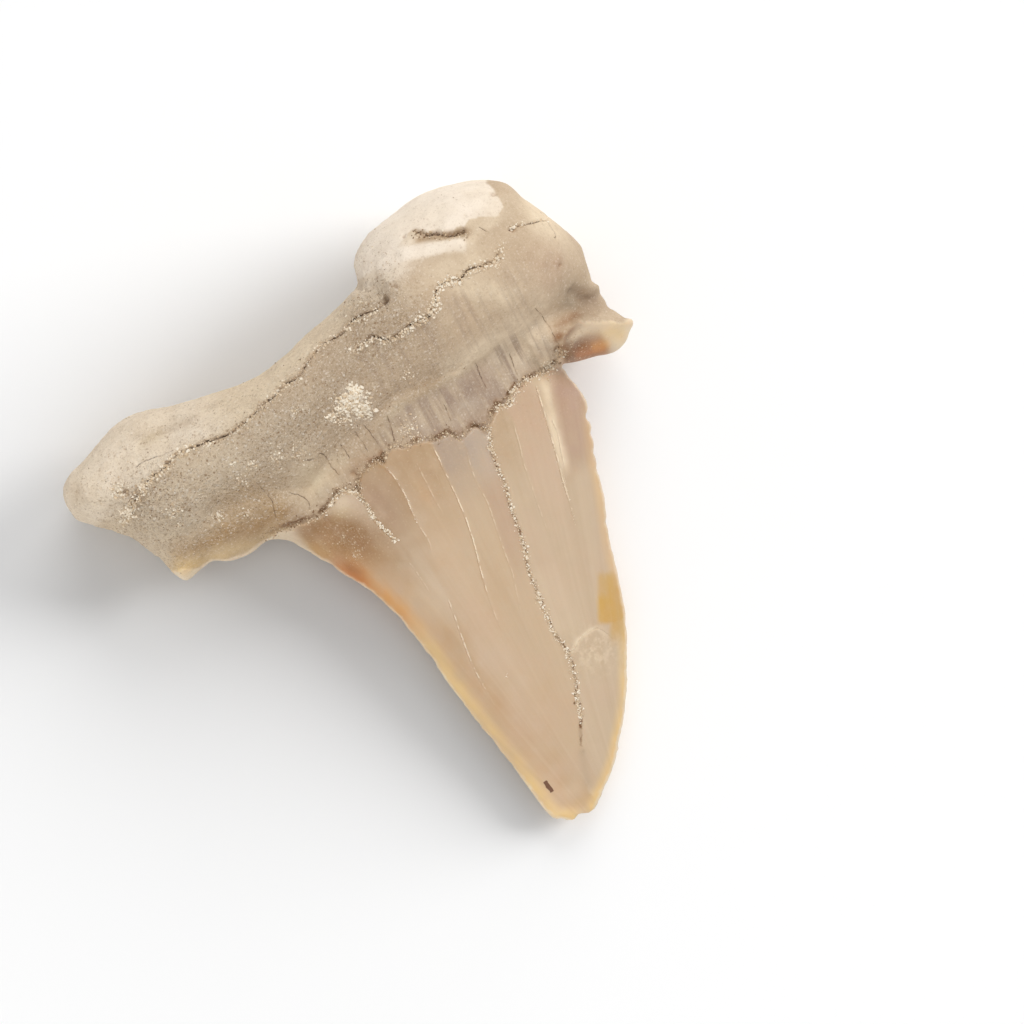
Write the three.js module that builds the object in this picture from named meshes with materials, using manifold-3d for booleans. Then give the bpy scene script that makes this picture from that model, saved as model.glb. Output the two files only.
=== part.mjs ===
// A fossil shark tooth of the mackerel-shark kind: a broad smooth-edged crown on a thick two-lobed root, with a
// small side cusp by each shoulder. It lies on its flatter outer (lip) face, so the bulging inner face looks up.
//
// Millimetres. +Y runs from the crown's tip to the root, +X along the root from the slender lobe to the blunt one,
// and +Z up from the surface it rests on. The origin is under the middle of the whole tooth, on that surface.
//
// The tooth grew as one piece, so it is one solid. Its masses are lofts, each through a few cross-sections that run
// from one edge of the tooth to the other. They are joined into one body, which is then cracked and chipped.

import * as THREE from "three";
import { mergeVertices } from "three/addons/utils/BufferGeometryUtils.js";
import Module from "manifold-3d";

const wasm = await Module();
wasm.setup();

// ---- Driving dimensions -------------------------------------------------------------------------------------------

const REST_Z = 0; // the surface that the tooth lies on
const ABOVE_ALL = 40; // a height well clear of the tooth
const RING_POINTS = 24; // points round each cross-section

// Cross-sections, as [edge a, edge b, crest height, underside height], where an edge is [x, y, z].
// The underside is trimmed flat at REST_Z, so a height below it makes a worn flat that the tooth stands on.
// crestAt is the crest's place between a and b. A fullness of 1 makes a blade's flank, and 2 an ellipse's.

// The root, from the tip of the slender lobe to the end of the blunt one; a faces the crown, and b is its base.
const ROOT = {
  stations: 39,
  crestAt: 0.58,
  fullness: [1.15, 1.9],
  sections: [
    [[-26, 19, 4.6], [-26.05, 19.8, 4.6], 5.4, 3.8],
    [[-25.9, 18.2, 4.6], [-25.7, 20.9, 4.6], 7, 2.4],
    [[-24.9, 17.1, 4.6], [-24.6, 21.9, 4.6], 8.8, 0.8],
    [[-23.6, 15.7, 4.6], [-22.8, 22.4, 4.8], 10.2, -0.2],
    [[-22.2, 13.8, 4.6], [-20.8, 23.1, 5], 11.2, -0.5],
    [[-21.2, 11.5, 4.6], [-18.2, 23.8, 5.2], 12, -0.5],
    [[-18.5, 10.1, 4.8], [-15.8, 23.6, 5.4], 12.7, -0.4],
    [[-14, 9.8, 5], [-12.9, 22.6, 5.6], 13.2, 0],
    [[-10, 9.6, 5.4], [-9.2, 21.75, 5.8], 13.6, 0.7],
    [[-5.5, 9.8, 6], [-5.2, 21.1, 6], 14, 1.3],
    [[0, 10.4, 6.6], [0, 22.05, 6], 14.5, 1.4],
    [[5, 11, 7], [5, 23.1, 6], 15, 1],
    [[10.5, 11.2, 7], [10.5, 24.6, 6], 15.4, 0.3],
    [[16, 11.2, 6.6], [16.2, 25.6, 6], 15, -0.3],
    [[20, 10.8, 5.6], [20.6, 25, 5.6], 13.8, -0.5],
    [[22.8, 10.8, 4.8], [23, 23.5, 5.2], 11.8, -0.3],
    [[24.3, 11.6, 4.8], [24.6, 20.2, 5], 9.6, 0.4],
    [[25, 13.8, 4.8], [25.45, 18, 4.8], 7.2, 2.2],
    [[25.5, 15.9, 4.8], [25.7, 16.8, 4.8], 5.6, 4],
  ],
};

// The swollen end of the blunt lobe, which stands out past the root's base.
const BLUNT_LOBE = {
  stations: 16,
  crestAt: 0.45,
  fullness: [2, 2],
  sections: [
    [[6.8, 20.5, 6.6], [6.7, 23.9, 7], 8.6, 5],
    [[7.5, 18, 6.4], [7.4, 25.7, 6.8], 11.6, 2.4],
    [[9.4, 16, 6.2], [9.4, 27.05, 6.6], 14, 0.8],
    [[12.2, 15, 6], [12.2, 27.6, 6.4], 15.1, 0.2],
    [[15, 14.8, 6], [15, 27.9, 6.4], 15.3, 0.2],
    [[18, 15.4, 6], [18, 27.45, 6.2], 14.7, 0.3],
    [[20.6, 17, 5.8], [20.9, 26.3, 6], 13, 0.8],
    [[22.3, 19.5, 5.6], [22.6, 25, 5.8], 10.6, 2],
    [[23.2, 21.8, 5.6], [23.2, 23.6, 5.6], 7.6, 4],
  ],
};

// The neck: the band of bare dentine between the enamel and the root, running on under both.
const NECK = {
  stations: 8,
  crestAt: 0.5,
  fullness: [1.1, 1.1],
  sections: [
    [[-11, 15, 4.6], [19.4, 15, 4.6], 12.2, 1.8],
    [[-11, 12, 4.2], [19.4, 12, 4.2], 11.4, 1.5],
    [[-10.6, 9, 3.8], [18.7, 9, 3.8], 10.5, 1.2],
    [[-9, 6.4, 3.5], [18.2, 6, 3.5], 9.4, 1],
    [[-5, 3, 3.2], [14, 3, 3.2], 7.4, 1],
  ],
};

// The crown, from inside the root to the blunted tip; a is the slender lobe's cutting edge, and b the blunt lobe's.
const CROWN = {
  stations: 34,
  crestAt: 0.5,
  fullness: [1.2, 1.2],
  sections: [
    [[-11.2, 9.6, 3.6], [19, 10.8, 3.8], 11.2, 1],
    [[-10.3, 7, 3.5], [18.9, 8, 3.6], 10.7, 0.8],
    [[-9.2, 5, 3.3], [19.25, 4.6, 3.4], 10.1, 0.5],
    [[-7.9, 2.3, 3.1], [18.5, 2.2, 3.2], 9.5, 0.2],
    [[-6.3, -0.7, 2.9], [17.35, -0.6, 3], 8.8, 0],
    [[-5.4, -3.6, 2.8], [16.4, -3.6, 2.8], 8.1, -0.2],
    [[-4.8, -6.8, 2.6], [15, -7, 2.6], 7.4, -0.3],
    [[-4.5, -10.4, 2.4], [13.85, -10.6, 2.4], 6.7, -0.3],
    [[-4.1, -13.8, 2.2], [12.7, -14, 2.2], 6, -0.2],
    [[-3.7, -17.2, 2], [10.95, -17.3, 2], 5.2, -0.1],
    [[-3.2, -20.2, 1.9], [9.15, -20.3, 1.9], 4.5, 0.1],
    [[-2.85, -22.8, 1.8], [6.95, -23.1, 1.8], 3.8, 0.3],
    [[-2.65, -25, 1.7], [4.8, -25.4, 1.7], 3.1, 0.5],
    [[-2.3, -26.7, 1.6], [2.8, -26.9, 1.6], 2.5, 0.8],
    [[-1.2, -27.65, 1.6], [1.5, -27.9, 1.6], 2.1, 1.1],
  ],
};

// The side cusps. The one by the slender lobe is worn to a low blade; the other still points outwards.
const WORN_CUSP = {
  stations: 18,
  crestAt: 0.72,
  fullness: [1.05, 1.5],
  sections: [
    [[-21.15, 11.2, 4.4], [-21.1, 12, 4.4], 5, 3.2],
    [[-20.7, 9.4, 4.2], [-20.6, 13, 4.4], 6, 2.4],
    [[-20.1, 8.45, 4], [-19.8, 14, 4.6], 7.4, 2],
    [[-18.6, 8.7, 3.9], [-18.4, 14.6, 4.8], 8.7, 1.7],
    [[-17.2, 8.8, 3.8], [-16.8, 15, 5], 9.4, 1.5],
    [[-15.8, 8, 3.7], [-15.2, 15, 5], 9.8, 1.4],
    [[-13.8, 7.7, 3.6], [-13, 15, 5], 10.1, 1.2],
    [[-11.9, 7.9, 3.5], [-10.8, 14.4, 5], 10.2, 1.1],
    [[-10.4, 7, 3.4], [-8.4, 13.4, 5], 9.8, 1],
    [[-9.2, 5.4, 3.3], [-5.6, 11.2, 5], 8.4, 1],
    [[-6, 4, 3.4], [-4, 8, 4.4], 6, 1.4],
  ],
};
const SOUND_CUSP = {
  stations: 12,
  crestAt: 0.55,
  fullness: [1.1, 1.3],
  sections: [
    [[15, 9.5, 4.6], [15, 14, 5], 7, 2],
    [[18.4, 8.6, 4.3], [18.6, 14.4, 5], 9, 1.6],
    [[20, 8, 4.1], [20.4, 14.2, 4.8], 8.9, 1.4],
    [[21.8, 7.55, 4], [22.2, 13.8, 4.6], 8.4, 1.4],
    [[23.6, 7, 3.9], [23.8, 13, 4.4], 7.6, 1.6],
    [[24.9, 7.3, 3.9], [25.05, 11.9, 4.2], 6.5, 1.9],
    [[25.6, 7.9, 3.9], [25.45, 10.4, 4], 5.4, 2.6],
    [[26.05, 8.35, 3.9], [26, 8.8, 3.9], 4.3, 3.5],
  ],
};

// Where the enamel stops, as [x, y] along the crown's inner face.
const ENAMEL_LINE = [
  [-12, 6.6],
  [-8, 7.4],
  [-5.6, 7.8],
  [-4.4, 8.5],
  [-3, 7.8],
  [-2.1, 8.9],
  [0.2, 9.2],
  [0.7, 8.7],
  [1.1, 9.3],
  [3, 9.2],
  [4.6, 8.8],
  [6, 7.9],
  [7.8, 7],
  [9.2, 7.1],
  [9.9, 6.2],
  [10.5, 7],
  [13, 7.8],
  [14.6, 8.4],
  [20, 8.8],
];

// Cracks, as { radius, line }, where a line is [x, y] places on the upper face.
const CRACKS = [
  {
    radius: 0.26,
    line: [
      [9.9, 6.4],
      [9.2, 3.6],
      [8.5, 0.2],
      [8, -2.8],
      [7.1, -5.6],
      [6.6, -9.2],
      [6.2, -12],
      [6.3, -15],
      [5.4, -17.5],
      [4.3, -20],
      [3.1, -22.4],
    ],
  },
  {
    radius: 0.28,
    line: [
      [-21.6, 16.3],
      [-19, 17.6],
      [-16, 18.3],
      [-14.6, 18.6],
      [-11.5, 18],
      [-8.4, 18],
      [-5, 18.8],
      [-1, 19.5],
      [1.5, 20.2],
      [4.8, 20.9],
      [7.4, 20.9],
    ],
  },
  {
    radius: 0.24,
    line: [
      [3.2, 18.9],
      [5, 18.2],
      [7.2, 17.6],
      [9.2, 17.7],
      [11.2, 18.5],
      [13, 19.7],
      [17, 19.5],
      [19.5, 20],
    ],
  },
  {
    radius: 0.42,
    line: [
      [13, 24.8],
      [14.4, 24.3],
      [15.6, 23.5],
      [17, 22.8],
    ],
  },
];

// The furrows that run down the dental band, as [x at the top, x at the foot].
const FURROWS = [
  [-7.9, -7.2],
  [-3.9, -3.4],
  [-1.7, -1.6],
  [0.9, 1.1],
  [2.7, 2.6],
  [4.8, 4.6],
  [7.2, 6.9],
  [9.4, 9.2],
  [11.8, 11.5],
  [14.2, 14],
  [16.4, 16.2],
];
const FURROW_TOP = 12.3;
const FURROW_FOOT = 9.2;
const FURROW_RADIUS = 0.2;

// Low swellings (and hollows, with a height below 0) of the upper face, as [x, y, radius, height].
const SWELLINGS = [
  [5.6, 21.9, 1.5, 0.7],
  [9.6, 21.6, 1.6, 0.6],
  [7.6, 21.6, 1.1, -0.7],
  [-23.4, 18.6, 1.9, 0.6],
  [-20.7, 17.4, 1.4, -0.5],
  [-17.4, 14.6, 2.4, 0.5],
  [-14, 12.6, 1.6, -0.5],
  [-10.6, 15, 2.6, 0.5],
  [-5.6, 10.9, 2, 0.5],
  [-1.6, 15.8, 2.4, -0.4],
  [3, 14.2, 2.2, 0.4],
  [9.6, 15, 3, 0.6],
  [14, 17.6, 2.2, -0.4],
  [17.6, 15.6, 2.6, 0.5],
  [20, 12.4, 1.4, -0.6],
  [22.4, 17.8, 2, 0.5],
  [-14.5, 21, 1.8, -0.5],
  [12.4, 24.6, 1.6, 0.4],
  [17.4, 24.4, 1.8, 0.4],
];

// Pits, as [x, y, radius, depth].
const PITS = [
  [7.7, 21.2, 0.5, 0.6],
  [21.1, 20.9, 0.5, 0.4],
  [-20.7, 17.9, 0.6, 0.3],
  [19.3, 9.4, 0.7, 0.6],
];

// The knob on the root above the sound cusp, as [centre, radii].
const SIDE_KNOB = [[25.1, 12.5, 4.8], [0.75, 1.1, 1.8]];

// Chips out of the cutting edges and the tip, as [x, y, radius].
const CHIPS = [
  [19.1, 3, 0.65],
  [18.3, 1.2, 0.5],
  [17.6, -0.8, 0.45],
  [15.7, -5.6, 0.45],
  [14.2, -9.6, 0.4],
  [12.4, -15.4, 0.4],
  [9.6, -20.4, 0.4],
  [0, -28.4, 0.75],
  [-4.7, -8.6, 0.4],
];

// ---- Lofts --------------------------------------------------------------------------------------------------------

// How far a flank has risen at a place between an edge (0) and the crest (1).
function flank(place, fullness) {
  return Math.pow(1 - Math.pow(1 - place, 2), 1 / fullness);
}

// The ring of points round one cross-section: over the crest from edge a to edge b, and back along the underside.
function ring(a, b, crest, underside, { crestAt, fullness }) {
  const points = [];
  for (let i = 0; i < RING_POINTS; i++) {
    const angle = (2 * Math.PI * i) / RING_POINTS;
    const across = (1 - Math.cos(angle)) / 2;
    const point = a.clone().lerp(b, across);
    if (angle >= Math.PI) {
      point.z += (underside - point.z) * (1 - Math.pow(2 * across - 1, 4));
    } else if (across < crestAt) {
      point.z += (crest - point.z) * flank(across / crestAt, fullness[0]);
    } else {
      point.z += (crest - point.z) * flank((1 - across) / (1 - crestAt), fullness[1]);
    }
    point.z = Math.max(REST_Z, point.z);
    points.push(point);
  }
  return points;
}

// The triangles that join each ring to the next, and a fan that closes each end.
function skin(rings) {
  const middle = (points) =>
    points.reduce((sum, p) => sum.add(p), new THREE.Vector3()).divideScalar(points.length);
  const last = (rings.length - 1) * RING_POINTS;
  const points = [...rings.flat(), middle(rings[0]), middle(rings.at(-1))];
  const index = [];
  for (let j = 0; j < RING_POINTS; j++) {
    const next = (j + 1) % RING_POINTS;
    for (let here = 0; here < last; here += RING_POINTS) {
      const there = here + RING_POINTS;
      index.push(here + j, there + j, here + next);
      index.push(here + next, there + j, there + next);
    }
    index.push(points.length - 2, j, next);
    index.push(points.length - 1, last + next, last + j);
  }
  return new THREE.BufferGeometry().setFromPoints(points).setIndex(index);
}

// A smooth body through a mass's cross-sections.
function loft(mass) {
  const through = (pick) =>
    new THREE.CatmullRomCurve3(mass.sections.map((section) => new THREE.Vector3(...pick(section))));
  const edgeA = through(([a]) => a);
  const edgeB = through(([, b]) => b);
  const heights = through(([, , crest, underside]) => [crest, underside, 0]);
  const rings = [];
  for (let i = 0; i <= mass.stations; i++) {
    const t = i / mass.stations;
    const height = heights.getPoint(t);
    rings.push(ring(edgeA.getPoint(t), edgeB.getPoint(t), height.x, height.y, mass));
  }
  return solidFrom(skin(rings));
}

// ---- Between three.js geometry and solids -------------------------------------------------------------------------

// A closed geometry as a solid. One that came out inside out is turned round.
function solidFrom(geometry) {
  const bare = geometry.clone();
  bare.deleteAttribute("normal");
  bare.deleteAttribute("uv");
  const merged = mergeVertices(bare, 1e-4);
  const triVerts = new Uint32Array(merged.index.array);
  const vertProperties = merged.attributes.position.array;
  const build = () => new wasm.Manifold(new wasm.Mesh({ numProp: 3, vertProperties, triVerts }));
  const solid = build();
  if (solid.volume() > 0) return solid;
  for (let i = 0; i < triVerts.length; i += 3) {
    [triVerts[i + 1], triVerts[i + 2]] = [triVerts[i + 2], triVerts[i + 1]];
  }
  return build();
}

function geometryOf(solid) {
  const { vertProperties, triVerts } = solid.getMesh();
  const geometry = new THREE.BufferGeometry();
  geometry.setAttribute("position", new THREE.BufferAttribute(vertProperties, 3));
  geometry.setIndex(new THREE.BufferAttribute(triVerts, 1));
  geometry.computeVertexNormals();
  return geometry;
}

// Finds the upper face of a solid: the point straight above or below a place.
function upperFace(solid) {
  const surface = new THREE.Mesh(geometryOf(solid), new THREE.MeshBasicMaterial());
  const caster = new THREE.Raycaster();
  const down = new THREE.Vector3(0, 0, -1);
  return (x, y) => {
    caster.set(new THREE.Vector3(x, y, ABOVE_ALL), down);
    return caster.intersectObject(surface)[0].point;
  };
}

// ---- The tooth's own masses ---------------------------------------------------------------------------------------

// The enamel cap: the crown's loft, kept only on the tip's side of the line where the enamel stops.
function enamel() {
  const [firstX] = ENAMEL_LINE[0];
  const [lastX] = ENAMEL_LINE.at(-1);
  const tipSide = new THREE.Shape([
    ...ENAMEL_LINE.map(([x, y]) => new THREE.Vector2(x, y)),
    new THREE.Vector2(lastX, -ABOVE_ALL),
    new THREE.Vector2(firstX, -ABOVE_ALL),
  ]);
  const keep = new THREE.ExtrudeGeometry(tipSide, { depth: ABOVE_ALL, bevelEnabled: false });
  return loft(CROWN).intersect(solidFrom(keep));
}

function ball(radii, centre, detail) {
  const geometry = new THREE.IcosahedronGeometry(1, detail);
  geometry.scale(...radii);
  geometry.translate(...centre);
  return solidFrom(geometry);
}

function masses() {
  const [knobCentre, knobRadii] = SIDE_KNOB;
  return [
    loft(ROOT),
    loft(BLUNT_LOBE),
    loft(NECK),
    loft(WORN_CUSP),
    loft(SOUND_CUSP),
    enamel(),
    ball(knobRadii, knobCentre, 2),
  ].reduce((whole, mass) => whole.add(mass));
}

// ---- Relief, cracks and chips -------------------------------------------------------------------------------------

// Raises and lowers the upper face. It fades out towards the edges, so the outline stays as it is.
function uneven(solid) {
  const geometry = geometryOf(solid);
  const { position, normal } = geometry.attributes;
  for (let i = 0; i < position.count; i++) {
    const facingUp = Math.max(0, normal.getZ(i));
    let rise = 0;
    for (const [x, y, radius, height] of SWELLINGS) {
      const distance = Math.hypot(position.getX(i) - x, position.getY(i) - y);
      rise += height * Math.exp(-Math.pow(distance / radius, 2));
    }
    position.setZ(i, position.getZ(i) + rise * facingUp);
  }
  return solidFrom(geometry);
}

function pit([x, y, radius, depth], surfaceAt) {
  const centre = [x, y, surfaceAt(x, y).z + radius - depth];
  return ball([radius, radius, radius], centre, 1);
}

// A groove of round section along a line, sunk to its middle in the upper face.
function groove(line, radius, surfaceAt) {
  const flat = new THREE.CatmullRomCurve3(line.map(([x, y]) => new THREE.Vector3(x, y, 0)));
  const route = flat.getSpacedPoints(line.length * 2).map((p) => surfaceAt(p.x, p.y));
  const section = new THREE.Shape().absarc(0, 0, radius, 0, 2 * Math.PI);
  const options = {
    extrudePath: new THREE.CatmullRomCurve3(route),
    steps: route.length,
    curveSegments: 3,
  };
  return solidFrom(new THREE.ExtrudeGeometry(section, options));
}

function chip([x, y, radius]) {
  const bite = new THREE.CylinderGeometry(radius, radius, ABOVE_ALL, 8);
  bite.rotateX(Math.PI / 2);
  bite.translate(x, y, 0);
  return solidFrom(bite);
}

function tooth() {
  const whole = uneven(masses());
  const surfaceAt = upperFace(whole);
  const cuts = [
    ...PITS.map((place) => pit(place, surfaceAt)),
    ...CRACKS.map(({ line, radius }) => groove(line, radius, surfaceAt)),
    ...FURROWS.map(([top, foot]) =>
      groove([[top, FURROW_TOP], [foot, FURROW_FOOT]], FURROW_RADIUS, surfaceAt)),
    ...CHIPS.map(chip),
  ];
  return cuts.reduce((solid, cut) => solid.subtract(cut), whole);
}

const mesh = new THREE.Mesh(
  geometryOf(tooth()),
  new THREE.MeshStandardMaterial({ color: 0xc4a98a, roughness: 0.6, metalness: 0 }),
);
mesh.name = "tooth";

const part = new THREE.Group();
part.add(mesh);
export default part;
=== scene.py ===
# %% [markdown]
# # A fossil shark tooth
#
# The tooth lies on its flat outer face, with the bulging inner face up. It has a broad glossy crown, a rough
# two-lobed root, and a small cusp by each shoulder. Cracks run through it, and sand from the rock that it was dug
# out of is still packed in them. The lesson goes from the whole to the small: first where the camera and the lights
# stand, then the tooth's masses, then the relief that is carved into them, then loose sand, and last the finishes.
#
# The construction model comes first. It is fixed: it says how big the tooth is and where it lies.

# %% Load the frame
import math
from functools import partial

import bmesh
import bpy
import numpy as np
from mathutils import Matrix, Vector, noise
from mathutils.bvhtree import BVHTree


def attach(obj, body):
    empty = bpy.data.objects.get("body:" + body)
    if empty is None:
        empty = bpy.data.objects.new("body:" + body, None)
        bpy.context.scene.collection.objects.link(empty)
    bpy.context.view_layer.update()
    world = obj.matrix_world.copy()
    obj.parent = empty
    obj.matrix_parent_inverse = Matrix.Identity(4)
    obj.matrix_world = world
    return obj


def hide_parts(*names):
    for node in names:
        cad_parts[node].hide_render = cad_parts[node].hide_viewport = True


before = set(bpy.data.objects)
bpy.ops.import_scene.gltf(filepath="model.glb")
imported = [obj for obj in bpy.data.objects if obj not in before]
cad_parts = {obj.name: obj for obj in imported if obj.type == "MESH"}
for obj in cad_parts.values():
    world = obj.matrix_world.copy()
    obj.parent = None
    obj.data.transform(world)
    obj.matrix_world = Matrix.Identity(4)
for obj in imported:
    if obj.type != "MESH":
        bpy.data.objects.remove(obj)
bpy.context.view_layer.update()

MM = 0.001  # the sizes below are in millimetres, and Blender works in metres
scene = bpy.context.scene

# %% [markdown]
# ## The camera
#
# A catalogue shows a specimen from straight above, from far away with a long lens, so that its outline isn't
# distorted. Here the tooth lies askew in the view: the root's slender lobe points to the lower left. Turning the
# camera about its own axis does that, and leaves the tooth in the frame that its construction model uses.

# %% Camera
VIEW_WIDTH = 92.16 * MM  # what the picture spans at the height of the tooth's middle
VIEW_HEIGHT = 5 * MM
VIEW_DISTANCE = 500 * MM
VIEW_CENTRE = Vector((8.37 * MM, -0.85 * MM, VIEW_HEIGHT))
VIEW_TURN = math.radians(-30)

camera = bpy.data.objects.new("camera", bpy.data.cameras.new("camera"))
camera.location = VIEW_CENTRE + Vector((0, 0, VIEW_DISTANCE))
camera.rotation_euler = (0, 0, VIEW_TURN)
camera.data.sensor_width = 36
camera.data.lens = camera.data.sensor_width * VIEW_DISTANCE / VIEW_WIDTH
camera.data.clip_start = 0.01
camera.data.clip_end = 20
scene.collection.objects.link(camera)
scene.camera = camera
print(f"lens {camera.data.lens:.0f} mm, {VIEW_DISTANCE / MM:.0f} mm above the tooth")

# %% [markdown]
# ## Floor and lights
#
# The floor is a plain white sheet, much larger than the tooth, so that its far edge is a long way off. Catalogue
# pictures are often lit twice. Low lights throw a long soft shadow on the card: the stronger one gives the shadow
# its direction, and a broad one, further round, softens its far end. The specimen itself is lit evenly, so that its
# colours read everywhere. Light linking does both at once: each lamp here names the collection that it shines on,
# `backdrop` or `subject`. A pale surround reaches both.

# %% Floor
FLOOR_SIZE = 6.0

floor_mesh = bpy.data.meshes.new("floor")
half = FLOOR_SIZE / 2
corners = [(-half, -half, 0), (half, -half, 0), (half, half, 0), (-half, half, 0)]
floor_mesh.from_pydata(corners, [], [(0, 1, 2, 3)])
floor = bpy.data.objects.new("floor", floor_mesh)
scene.collection.objects.link(floor)

# %% Lights
SURROUND = 0.52
backdrop = bpy.data.collections.new("backdrop")
subject = bpy.data.collections.new("subject")
backdrop.objects.link(floor)
# Kind, name, bearing, height, distance, strength, softness (a sun's angle, an area's size), and what it lights.
LIGHTS = [
    ("SUN", "shadow light", -5, 16.5, 2, 4.25, math.radians(32), backdrop),
    ("SUN", "window light", 50, 14, 2, 2.26, math.radians(55), backdrop),
    ("AREA", "key light", 40, 50, 1, 5.3, 0.4, subject),
    ("AREA", "fill light", 215, 38, 1, 3.4, 0.6, subject),
]

for kind, name, bearing, height, distance, strength, softness, lit in LIGHTS:
    lamp = bpy.data.objects.new(name, bpy.data.lights.new(name, kind))
    turn, lift = math.radians(bearing), math.radians(height)
    out = Vector((math.cos(turn) * math.cos(lift), math.sin(turn) * math.cos(lift), math.sin(lift)))
    lamp.location = VIEW_CENTRE + out * distance
    lamp.rotation_euler = out.to_track_quat("Z", "Y").to_euler()
    lamp.data.energy = strength
    setattr(lamp.data, "angle" if kind == "SUN" else "size", softness)
    lamp.light_linking.receiver_collection = lit
    scene.collection.objects.link(lamp)

world = bpy.data.worlds.new("surround")
world.use_nodes = True
background = world.node_tree.nodes["Background"].inputs
background["Color"].default_value = (1, 1, 1, 1)
background["Strength"].default_value = SURROUND
scene.world = world
scene.view_settings.view_transform = "Standard"

# %% [markdown]
# ## The tooth's masses
#
# A tooth has no straight line or true circle in it, but it does have a clear build: at every place along the crown
# there is a lens-shaped section between its two cutting edges, and at every place along the root there is a fat
# rounded one. So each mass is a loft. A few sections are written down, and a smooth curve through each of their
# points gives the sections in between. These are the construction model's own sections, with many more points round
# each one. Long lists of numbers are kept as text here, because they are easier to read without brackets.

# %% Sections
def table(text):
    """Rows of numbers, written with spaces between the numbers and commas between the rows."""
    return [tuple(map(float, row.split())) for row in text.split(",")]


# Each mass: where the crest lies between the edges, how full the two flanks are, and its sections. A section is
# edge a and edge b, each as x y z, then the height of the crest and the height of the underside.
ROOT = 0.58, (1.15, 1.9), table("""
    -26 19 4.6 -26.05 19.8 4.6 5.4 3.8, -25.9 18.2 4.6 -25.7 20.9 4.6 7 2.4, -24.9 17.1 4.6 -24.6 21.9 4.6 8.8 0.8,
    -23.6 15.7 4.6 -22.8 22.4 4.8 10.2 -0.2, -22.2 13.8 4.6 -20.8 23.1 5 11.2 -0.5,
    -21.2 11.5 4.6 -18.2 23.8 5.2 12 -0.5, -18.5 10.1 4.8 -15.8 23.6 5.4 12.7 -0.4, -14 9.8 5 -12.9 22.6 5.6 13.2 0,
    -10 9.6 5.4 -9.2 21.75 5.8 13.6 0.7, -5.5 9.8 6 -5.2 21.1 6 14 1.3, 0 10.4 6.6 0 22.05 6 14.5 1.4,
    5 11 7 5 23.1 6 15 1, 10.5 11.2 7 10.5 24.6 6 15.4 0.3, 16 11.2 6.6 16.2 25.6 6 15 -0.3,
    20 10.8 5.6 20.6 25 5.6 13.8 -0.5, 22.8 10.8 4.8 23 23.5 5.2 11.8 -0.3, 24.3 11.6 4.8 24.6 20.2 5 9.6 0.4,
    25 13.8 4.8 25.45 18 4.8 7.2 2.2, 25.5 15.9 4.8 25.7 16.8 4.8 5.6 4
""")
BLUNT_LOBE = 0.45, (2, 2), table("""
    6.8 20.5 6.6 6.7 23.9 7 8.6 5, 7.5 18 6.4 7.4 25.7 6.8 11.6 2.4, 9.4 16 6.2 9.4 27.05 6.6 14 0.8,
    12.2 15 6 12.2 27.6 6.4 15.1 0.2, 15 14.8 6 15 27.9 6.4 15.3 0.2, 18 15.4 6 18 27.45 6.2 14.7 0.3,
    20.6 17 5.8 20.9 26.3 6 13 0.8, 22.3 19.5 5.6 22.6 25 5.8 10.6 2, 23.2 21.8 5.6 23.2 23.6 5.6 7.6 4
""")
NECK = 0.5, (1.1, 1.1), table("""
    -11 15 4.6 19.4 15 4.6 12.2 1.8, -11 12 4.2 19.4 12 4.2 11.4 1.5, -10.6 9 3.8 18.7 9 3.8 10.5 1.2,
    -9 6.4 3.5 18.2 6 3.5 9.4 1, -5 3 3.2 14 3 3.2 7.4 1
""")
CROWN = 0.5, (1.2, 1.2), table("""
    -11.2 9.6 3.6 19 10.8 3.8 11 1, -10.3 7 3.5 18.9 8 3.6 10.4 0.8, -9.2 5 3.3 19.25 4.6 3.4 9.9 0.5,
    -7.9 2.3 3.1 18.5 2.2 3.2 9.4 0.2, -6.3 -0.7 2.9 17.35 -0.6 3 8.8 0, -5.4 -3.6 2.8 16.4 -3.6 2.8 8.1 -0.2,
    -4.8 -6.8 2.6 15 -7 2.6 7.4 -0.3, -4.5 -10.4 2.4 13.85 -10.6 2.4 6.7 -0.3, -4.1 -13.8 2.2 12.7 -14 2.2 6 -0.2,
    -3.7 -17.2 2 10.95 -17.3 2 5.2 -0.1, -3.2 -20.2 1.9 9.15 -20.3 1.9 4.5 0.1,
    -2.85 -22.8 1.8 6.95 -23.1 1.8 3.8 0.3, -2.65 -25 1.7 4.8 -25.4 1.7 3.1 0.5,
    -2.3 -26.7 1.6 2.8 -26.9 1.6 2.5 0.8, -1.2 -27.65 1.6 1.5 -27.9 1.6 2.1 1.1
""")
WORN_CUSP = 0.72, (1.05, 1.5), table("""
    -21.15 11.2 4.4 -21.1 12 4.4 5 3.2, -20.7 9.4 4.2 -20.6 13 4.4 6 2.4, -20.1 8.45 4 -19.8 14 4.6 7.4 2,
    -18.6 8.7 3.9 -18.4 14.6 4.8 8.7 1.7, -17.2 8.8 3.8 -16.8 15 5 9.4 1.5, -15.8 8 3.7 -15.2 15 5 9.8 1.4,
    -13.8 7.7 3.6 -13 15 5 10.1 1.2, -11.9 7.9 3.5 -10.8 14.4 5 10.2 1.1, -10.4 7 3.4 -8.4 13.4 5 9.8 1,
    -9.2 5.4 3.3 -5.6 11.2 5 8.4 1, -6 4 3.4 -4 8 4.4 6 1.4
""")
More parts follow.
